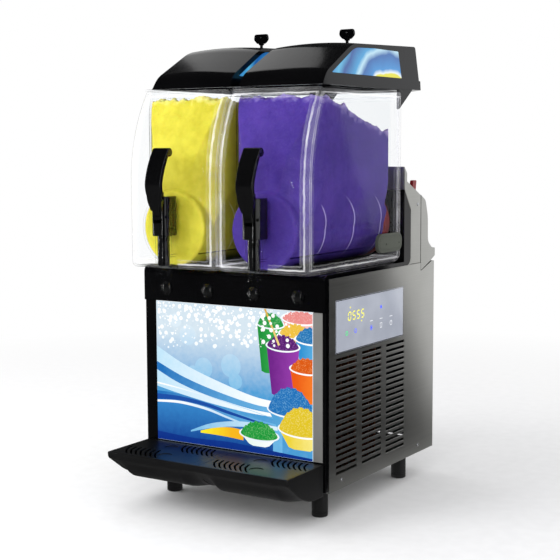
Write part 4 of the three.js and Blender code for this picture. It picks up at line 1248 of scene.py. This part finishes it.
def control_panel():
    """The glass with its display, two ring lamps, a blue lamp and three keys with generic symbols."""
    x = CONTROL_HI.x
    refined("control_panel", "chassis", CONTROL, 0.4, 2)
    low, high = CONTROL_LO, CONTROL_HI
    corners = [(low.y, low.z), (high.y, low.z), (high.y, high.z), (low.y, high.z)]
    border = inset([Vector(corner) for corner in corners], 0.6)
    edge = cut(flat_shape(border, x, 0.1), prism("x", inset(border, 1.3), x - 1, x + 1))
    piece("control_border", edge, "chassis", RIM_METAL)
    piece("display_figures", display(), "chassis", lamp("display_yellow", "#f5ee2e", 1.6))
    green = lamp("lamp_green", "#35e07c", 1.4)
    piece("lamp_ring_green", ring((64, 334), 4.2, 1.5, x), "chassis", green)
    blue = lamp("lamp_blue", "#3f56ff", 1.5)
    marks = [ring((97, 335), 4.2, 1.3, x), flat_shape(ellipse((197, 368), 3.2, 3.2), x)]
    star, middle, dial = KEYS.places
    for angle in (0, 60, 120):
        reach = Vector((math.cos(math.radians(angle)), math.sin(math.radians(angle)))) * 5.4
        centre = Vector((star, KEYS.mark))
        marks.append(flat_shape(stroke(centre - reach, centre + reach, 1.2), x, 0.1 + angle * 0.0002))
    piece("lamps_blue", together(*marks), "chassis", blue)
    symbols = []
    for y in KEYS.places:
        line = stroke((y - KEYS.arm, KEYS.line), (y + KEYS.arm, KEYS.line), 1.5)
        symbols.append(flat_shape(line, x))
    cup = [Vector((middle + a, KEYS.mark + b)) for a, b in ((-5, 5), (5, 5), (3.2, -5), (-3.2, -5))]
    symbols.append(cut(flat_shape(cup, x), prism("x", inset(cup, 1.3), x - 1, x + 1)))
    symbols.append(ring((dial, KEYS.mark), 5, 1.3, x))
    hand = stroke((dial, KEYS.mark), (dial + 2.5, KEYS.mark + 3.5), 1.1)
    symbols.append(flat_shape(hand, x, 0.1))
    white = lamp("symbol_white", "#f4f6fb", 1.0)
    piece("key_symbols", together(*symbols), "chassis", white)


# ---- the picture in the light panel: sky, waves and plain cups of coloured ice ----


def film(points, layer):
    """A thin film of the picture, (X, Z) points, a little in front of the layer behind it."""
    face = LIGHT_LO.y
    return prism("y", points, face - 0.05 - 0.06 * layer, face + 0.02)


def inside_frame(points):
    """Keeps a film's points inside the frame's window."""
    left, right = LIGHT_LO.x + 0.3, LIGHT_HI.x - 0.3
    foot, head = LIGHT_LO.z + 0.3, LIGHT_HI.z - 0.3
    return [Vector((min(max(p.x, left), right), min(max(p.y, foot), head))) for p in points]


def picture(name, shapes, layer, look):
    """One piece of the picture, its shapes stacked from the given layer outwards."""
    films = [film(shape, layer + i * 0.02) for i, shape in enumerate(shapes)]
    piece("picture_" + name, together(*films), "chassis", look)


def band(upper, lower, steps=24):
    """The area between two curves, each through (X, Z) points of equal count."""
    def curve(points):
        made = []
        for i in range(len(points) - 1):
            p0 = Vector(points[max(i - 1, 0)])
            p1, p2 = Vector(points[i]), Vector(points[i + 1])
            p3 = Vector(points[min(i + 2, len(points) - 1)])
            for k in range(steps):
                t = k / steps
                made.append(0.5 * (2 * p1 + (p2 - p0) * t + (2 * p0 - 5 * p1 + 4 * p2 - p3) * t**2
                                   + (3 * p1 - p0 - 3 * p2 + p3) * t**3))
        return [*made, Vector(points[-1])]
    return [*curve(upper), *reversed(curve(lower))]


def waves():
    """The sky, and the waves over it from the back of the picture to the front."""
    left, right = LIGHT_LO.x + 0.4, LIGHT_HI.x - 0.4
    bottom = LIGHT_LO.z + 0.4
    sky = printed("print_sky", "#4a9bd3", "#d3e2ec", "Z", (215, 330))
    top = LIGHT_HI.z - 0.4
    picture("sky", [outline([(left, bottom), (right, bottom), (right, top), (left, top)])], 0, sky)
    pale = printed("print_pale", "#bfe2f5", "#ffffff", "X", (-170, 120))
    picture("pale_wave", [
        band([(left, 292), (-110, 262), (-30, 236), (60, 214), (150, 210)],
             [(left, 262), (-110, 236), (-30, 215), (60, 200), (150, 200)]),
        band([(left, 248), (-120, 226), (-40, 205), (40, 192), (110, 188)],
             [(left, 214), (-120, 204), (-40, 192), (40, 184), (110, 182)]),
    ], 1, pale)
    mid = printed("print_mid", "#1f6fb9", "#6fb9e6", "X", (-170, 120))
    picture("mid_wave", [
        band([(left, 262), (-110, 237), (-30, 216), (60, 200), (150, 196)],
             [(left, 246), (-120, 224), (-40, 204), (60, 192), (150, 186)]),
        band([(left, 205), (-120, 203), (-40, 190), (40, 176), (110, 168)],
             [(left, 120), (-120, 116), (-40, 113), (40, 112), (110, 112)]),
    ], 2, mid)
    deep = printed("print_deep", "#123f92", "#3384c8", "Z", (112, 186))
    picture("deep_wave", [
        band([(left, 184), (-120, 187), (-60, 180), (-10, 168), (40, 158), (90, 154)],
             [(left, bottom), (-120, bottom), (-60, bottom), (-10, bottom), (40, bottom), (90, bottom)]),
    ], 3, deep)
    navy = printed("print_navy", "#0d2f86", "#1a4fa5", "Z", (110, 200))
    picture("navy_wave", [
        band([(left, 199), (-120, 199), (-60, 193), (-10, 183), (50, 172), (110, 163)],
             [(left, 189), (-120, 191), (-60, 186), (-10, 177), (50, 168), (110, 160)]),
        band([(left, 126), (-90, 122), (0, 124), (90, 119), (right, 115)],
             [(left, bottom), (-90, bottom), (0, bottom), (90, bottom), (right, bottom)]),
    ], 3.5, navy)
    crest = printed("print_crest", "#ffffff", "#8cc8ec", "X", (-150, 80))
    picture("crest_wave", [
        band([(left, 187), (-120, 190), (-60, 184), (-10, 172), (40, 161), (90, 155)],
             [(left, 183), (-120, 185), (-60, 179), (-10, 168), (40, 158), (90, 153.5)]),
        band([(left, 222), (-110, 214), (-30, 202), (50, 188), (100, 178)],
             [(left, 219), (-110, 212), (-30, 200.5), (50, 187), (100, 177.6)]),
    ], 3.7, crest)
    light = printed("print_light", "#5fb4e4", "#dff3fc", "X", (-120, 120))
    picture("light_wave", [
        band([(-95, 136), (-50, 154), (0, 164), (50, 167), (100, 165)],
             [(-95, 133), (-50, 145), (0, 154), (50, 158), (100, 158)]),
    ], 4, light)
    yellow = printed("print_yellow", "#f6b51c", "#fdf02a", "X", (0, -70))
    picture("yellow_wave", [
        band([(-72, 138), (-40, 147), (-5, 152), (25, 150)], [(-72, 134), (-40, 134), (-5, 133), (25, 131)]),
    ], 5, yellow)


def bubbles():
    """Soft round lights scattered over the upper left, from a fixed sequence."""
    small, large = [], []
    for i in range(340):
        a = math.modf(math.sin(i * 12.9898) * 43758.5453)[0]
        b = math.modf(math.sin(i * 78.233) * 12543.117)[0]
        x = -168 + 300 * abs(a) ** 1.2
        z = 377 - 88 * abs(b) ** 1.5 * (1 - 0.3 * (x + 168) / 300)
        radius = 0.9 + 3.2 * abs(math.sin(i * 3.7)) ** 4
        if z + radius < LIGHT_HI.z - 1 and x - radius > LIGHT_LO.x + 1:
            small.append(ellipse((x, z), radius, radius, 12))
    round_lights = (
        (-100, 318, 19), (-88, 246, 15), (-64, 258, 20), (-2, 268, 22), (8, 240, 15), (-128, 344, 13),
    )
    for x, z, radius in round_lights:
        large.append(ellipse((x, z), radius, radius, 36))
    picture("large_bubbles", large, 0.4, printed("print_haze", "#7fbde4", "#d9e8f2", "Z", (230, 340)))
    picture("small_bubbles", small, 6, printed("print_white", "#eef6fb", "#ffffff", "Z", (290, 330)))


def cup_film(x, wide, rim, foot, narrow):
    """A cup: its tapered body below the rim ellipse."""
    right = [(narrow * 0.6, foot), (narrow, foot + 3), (wide, rim)]
    left = [(-reach, z) for reach, z in reversed(right)]
    return inside_frame([Vector((x + reach, z)) for reach, z in left + right])


def heap(x, wide, rim, peak, bumps):
    """A heap of crushed ice: a lumpy dome over the rim."""
    points = []
    steps = 46
    for i in range(steps + 1):
        t = i / steps
        across = -wide + 2 * wide * t
        dome = (1 - abs(2 * t - 1) ** 2.2) ** 0.8
        rough = 1.3 * math.sin(t * 41 + bumps) + 0.9 * math.sin(t * 97 + bumps * 2)
        points.append(Vector((x + across, rim + (peak - rim) * dome + rough * min(1, 6 * t, 6 * (1 - t)))))
    points += [Vector((x + wide * math.cos(a), rim - wide * 0.24 * math.sin(a)))
               for a in (math.pi * k / 20 for k in range(1, 20))]
    return inside_frame(points)


def cups():
    """Plain cups and bowls of coloured ice, from the back of the picture to the front."""
    # name, x, wide, rim, foot, narrow, peak, the cup's two colours, the ice's two colours, layer
    table = [
        ("green", 86, 29, 352, 262, 20, 372, "#1e8f3a", "#3cb857", "#1f9a45", "#b5efb5", 7),
        ("pink", 150, 40, 366, 340, 30, 379, "#f3a9a0", "#f7c9bf", "#ef8f8c", "#ffe6dc", 7.5),
        ("gold", 138, 34, 338, 322, 24, 356, "#f6cf5c", "#fbe59a", "#f2c33c", "#fff3b8", 8),
        ("sky", 172, 34, 330, 285, 24, 352, "#2d8fce", "#6fbfe8", "#2277b8", "#9fdcf5", 8.5),
        ("violet", 112, 35, 314, 222, 24, 334, "#6f2387", "#9a3fae", "#571a70", "#c27fd6", 9),
        ("orange", 162, 35, 276, 214, 25, 296, "#e8590c", "#f98a2b", "#e05a08", "#ffc27a", 10),
        ("blue_bowl", 128, 49, 198, 160, 28, 240, "#4f9fd4", "#a5d6f0", "#1f74bd", "#9fdcf8", 11),
        ("yellow_bowl", 152, 50, 164, 128, 28, 206, "#ecd23a", "#fdf29a", "#e8c920", "#fffbb5", 12),
        ("green_bowl", 60, 42, 146, 124, 22, 170, "#e7f6ee", "#ffffff", "#1c9c3c", "#a9f0a4", 13),
    ]
    rim_white = printed("print_rim", "#e9f3fa", "#ffffff", "X", (60, 170))
    for name, x, wide, rim, foot, narrow, peak, dark, light, deep, bright, layer in table:
        body = printed(f"print_cup_{name}", dark, light, "X", (x - narrow, x + wide))
        lip = [inside_frame(ellipse((x, rim), wide + 2, wide * 0.26 + 2))]
        picture(f"cup_{name}", [cup_film(x, wide, rim, foot, narrow)], layer, body)
        picture(f"rim_{name}", lip, layer + 0.2, rim_white)
        ice = printed_ice(f"print_ice_{name}", deep, bright)
        picture(f"ice_{name}", [heap(x, wide - 1.5, rim, peak, x)], layer + 0.4, ice)
    straw = [Vector(p) for p in ((72, 379), (76, 379), (106, 316), (102, 314))]
    picture("straw", [straw], 9.6, printed("print_straw", "#d9a534", "#f2d68a", "X", (72, 106)))


def light_panel():
    """The lit panel with the films of its picture in front."""
    refined("light_panel", "chassis", printed("panel_back", "#cfe6f4", "#f7fbfe"), 0.3, 1)
    waves()
    bubbles()
    cups()


# ---- camera, stage and light ----


def aim(place, azimuth, elevation, roll=0.0):
    """A turn that looks along an azimuth, down by an elevation; degrees."""
    a, e = math.radians(azimuth), math.radians(elevation)
    back = Vector((math.sin(a) * math.cos(e), -math.cos(a) * math.cos(e), math.sin(e)))
    turn = (-back).to_track_quat("-Z", "Y").to_matrix().to_4x4()
    return Matrix.Translation(place) @ turn @ Matrix.Rotation(math.radians(roll), 4, "Z")


def camera():
    """A camera at the photograph's place and angle."""
    data = bpy.data.cameras.new("camera")
    data.lens = 80.12
    data.sensor_width = 36
    data.clip_end = 100
    made = bpy.data.objects.new("camera", data)
    made.matrix_world = aim(Vector((1.2877, -2.0356, 0.6697)), 32.23, 6.09, -0.215)
    bpy.context.scene.collection.objects.link(made)
    bpy.context.scene.camera = made


def softbox(name, place, target, width, height, power, glossy=True):
    """A rectangular lamp that faces a target."""
    data = bpy.data.lights.new(name, "AREA")
    data.shape = "RECTANGLE"
    data.size, data.size_y = width, height
    data.energy = power
    made = bpy.data.objects.new(name, data)
    made.location = place
    made.rotation_mode = "QUATERNION"
    made.rotation_quaternion = (Vector(target) - Vector(place)).to_track_quat("-Z", "Y")
    made.visible_glossy = glossy
    made.visible_camera = False
    bpy.context.scene.collection.objects.link(made)


def studio_world():
    """White for the eye and for soft light; reflections see a room that is only bright at the right."""
    world = bpy.data.worlds.new("studio")
    world.use_nodes = True
    tree = world.node_tree
    bright = tree.nodes["Background"]
    bright.inputs["Color"].default_value = (1, 1, 1, 1)
    bright.inputs["Strength"].default_value = 1.0
    direction = tree.nodes.new("ShaderNodeTexCoord").outputs["Generated"]
    towards = tree.nodes.new("ShaderNodeVectorMath")
    towards.operation = "DOT_PRODUCT"
    towards.inputs[1].default_value = Vector((0.83, 0.55, 0.05)).normalized()
    tree.links.new(direction, towards.inputs[0])
    room = tree.nodes.new("ShaderNodeMapRange")
    room.interpolation_type = "SMOOTHSTEP"
    levels = {"From Min": 0.1, "From Max": 0.8, "To Min": 0.03, "To Max": 0.85}
    for key, value in levels.items():
        room.inputs[key].default_value = value
    tree.links.new(towards.outputs["Value"], room.inputs["Value"])
    dim = tree.nodes.new("ShaderNodeBackground")
    dim.inputs["Color"].default_value = (0.97, 0.98, 1, 1)
    tree.links.new(room.outputs["Result"], dim.inputs["Strength"])
    ray = tree.nodes.new("ShaderNodeLightPath")
    mixed = tree.nodes.new("ShaderNodeMixShader")
    tree.links.new(ray.outputs["Is Glossy Ray"], mixed.inputs[0])
    tree.links.new(bright.outputs[0], mixed.inputs[1])
    tree.links.new(dim.outputs[0], mixed.inputs[2])
    tree.links.new(mixed.outputs[0], tree.nodes["World Output"].inputs["Surface"])
    world.cycles.sampling_method = "NONE"
    bpy.context.scene.world = world


def stage_card(name, corners, look):
    """A flat card of the stage, in metres."""
    mesh = bpy.data.meshes.new(name)
    mesh.from_pydata(corners, [], [(0, 1, 2, 3)])
    mesh.materials.append(look.material)
    made = bpy.data.objects.new(name, mesh)
    bpy.context.scene.collection.objects.link(made)
    return made


def floor():
    """A plain pale floor that turns to white far away; reflections see it dark at the front left."""
    look = Look("floor_white", Roughness=0.55, Specular_IOR_Level=0.25)
    fine = look.noise(40, 2)
    look.set("Base_Color", look.mix(look.grey(fine, 0, 1), rgb("#f0f0f1"), rgb("#f4f4f5")))
    reach = look.node("VectorMath", {0: look.place}, operation="LENGTH").outputs["Value"]
    far = look.grey(reach, 0, 1, 0.7, 2.2)
    glow = look.node("Emission", {"Color": (1, 1, 1, 1), "Strength": 1.0}).outputs["Emission"]
    seen = look.blend(far, look.shader.outputs["BSDF"], glow)
    behind = {0: look.place, 1: (0.56, 0.82, 0)}
    towards = look.node("VectorMath", behind, operation="DOT_PRODUCT").outputs["Value"]
    strength = look.grey(towards, 0.08, 0.8, -0.3, 1.6)
    mirrored = look.node("Emission", {"Strength": strength}).outputs["Emission"]
    look.blend(look.node("LightPath").outputs["Is Glossy Ray"], seen, mirrored)
    size = 14
    stage_card("floor", [(-size, -size, 0), (size, -size, 0), (size, size, 0), (-size, size, 0)], look)


def dark_card():
    """A black card that only slanting reflections see, beside the front of the right panel."""
    look = Look("card_black", Base_Color=(0, 0, 0, 1), Roughness=1, Specular_IOR_Level=0)
    facing = look.node("LayerWeight", {"Blend": 0.5}).outputs["Facing"]
    clear = look.node("BsdfTransparent").outputs["BSDF"]
    look.blend(look.grey(facing, 0, 1, 0.12, 0.28), clear, look.shader.outputs["BSDF"])
    x = 0.31
    made = stage_card("dark_card", [(x, -1.2, -0.1), (x, 0.58, -0.1), (x, 0.02, 0.9), (x, -1.2, 0.9)], look)
    made.visible_camera = False
    made.visible_diffuse = False
    made.visible_shadow = False
    made.visible_transmission = False


def studio():
    bpy.context.scene.view_settings.view_transform = "Standard"
    # Light crosses up to 20 clear faces where one bowl stands behind the other.
    bpy.context.scene.cycles.transparent_max_bounces = 32
    studio_world()
    floor()
    dark_card()
    softbox("key", (-1.3, -1.6, 1.6), (0, 0, 0.5), 1.4, 1.4, 26, glossy=False)
    softbox("front", (1.2, -2.2, 1.2), (0, 0, 0.5), 1.0, 1.4, 10, glossy=False)
    softbox("lid_sheen", (-0.77, 0.67, 1.53), (-0.1, -0.05, 0.86), 0.35, 0.9, 0.8)
    softbox("left_strip", (-2.2, -0.6, 0.7), (0, 0, 0.5), 0.06, 1.4, 5)
    softbox("front_strip", (0.5, -2.5, 0.9), (0, 0, 0.5), 0.06, 1.4, 5)


# ---- the machine ----

camera()
studio()
cabinet()
frame_strip()
light_panel()
control_panel()
bowl_deck()
column()
drip_tray()
machinery()
for bowl_side in SIDES:
    bowl_jacket(bowl_side)
    bowl_vessel(bowl_side)
    slush(bowl_side)
    chiller(bowl_side)
    bowl_latch(bowl_side)
    tap_housing(bowl_side)
    tap_piston(bowl_side)
    tap_spring(bowl_side)
    tap_lever(bowl_side)
    lid(bowl_side)
    lid_window(bowl_side)
    lid_key(bowl_side)
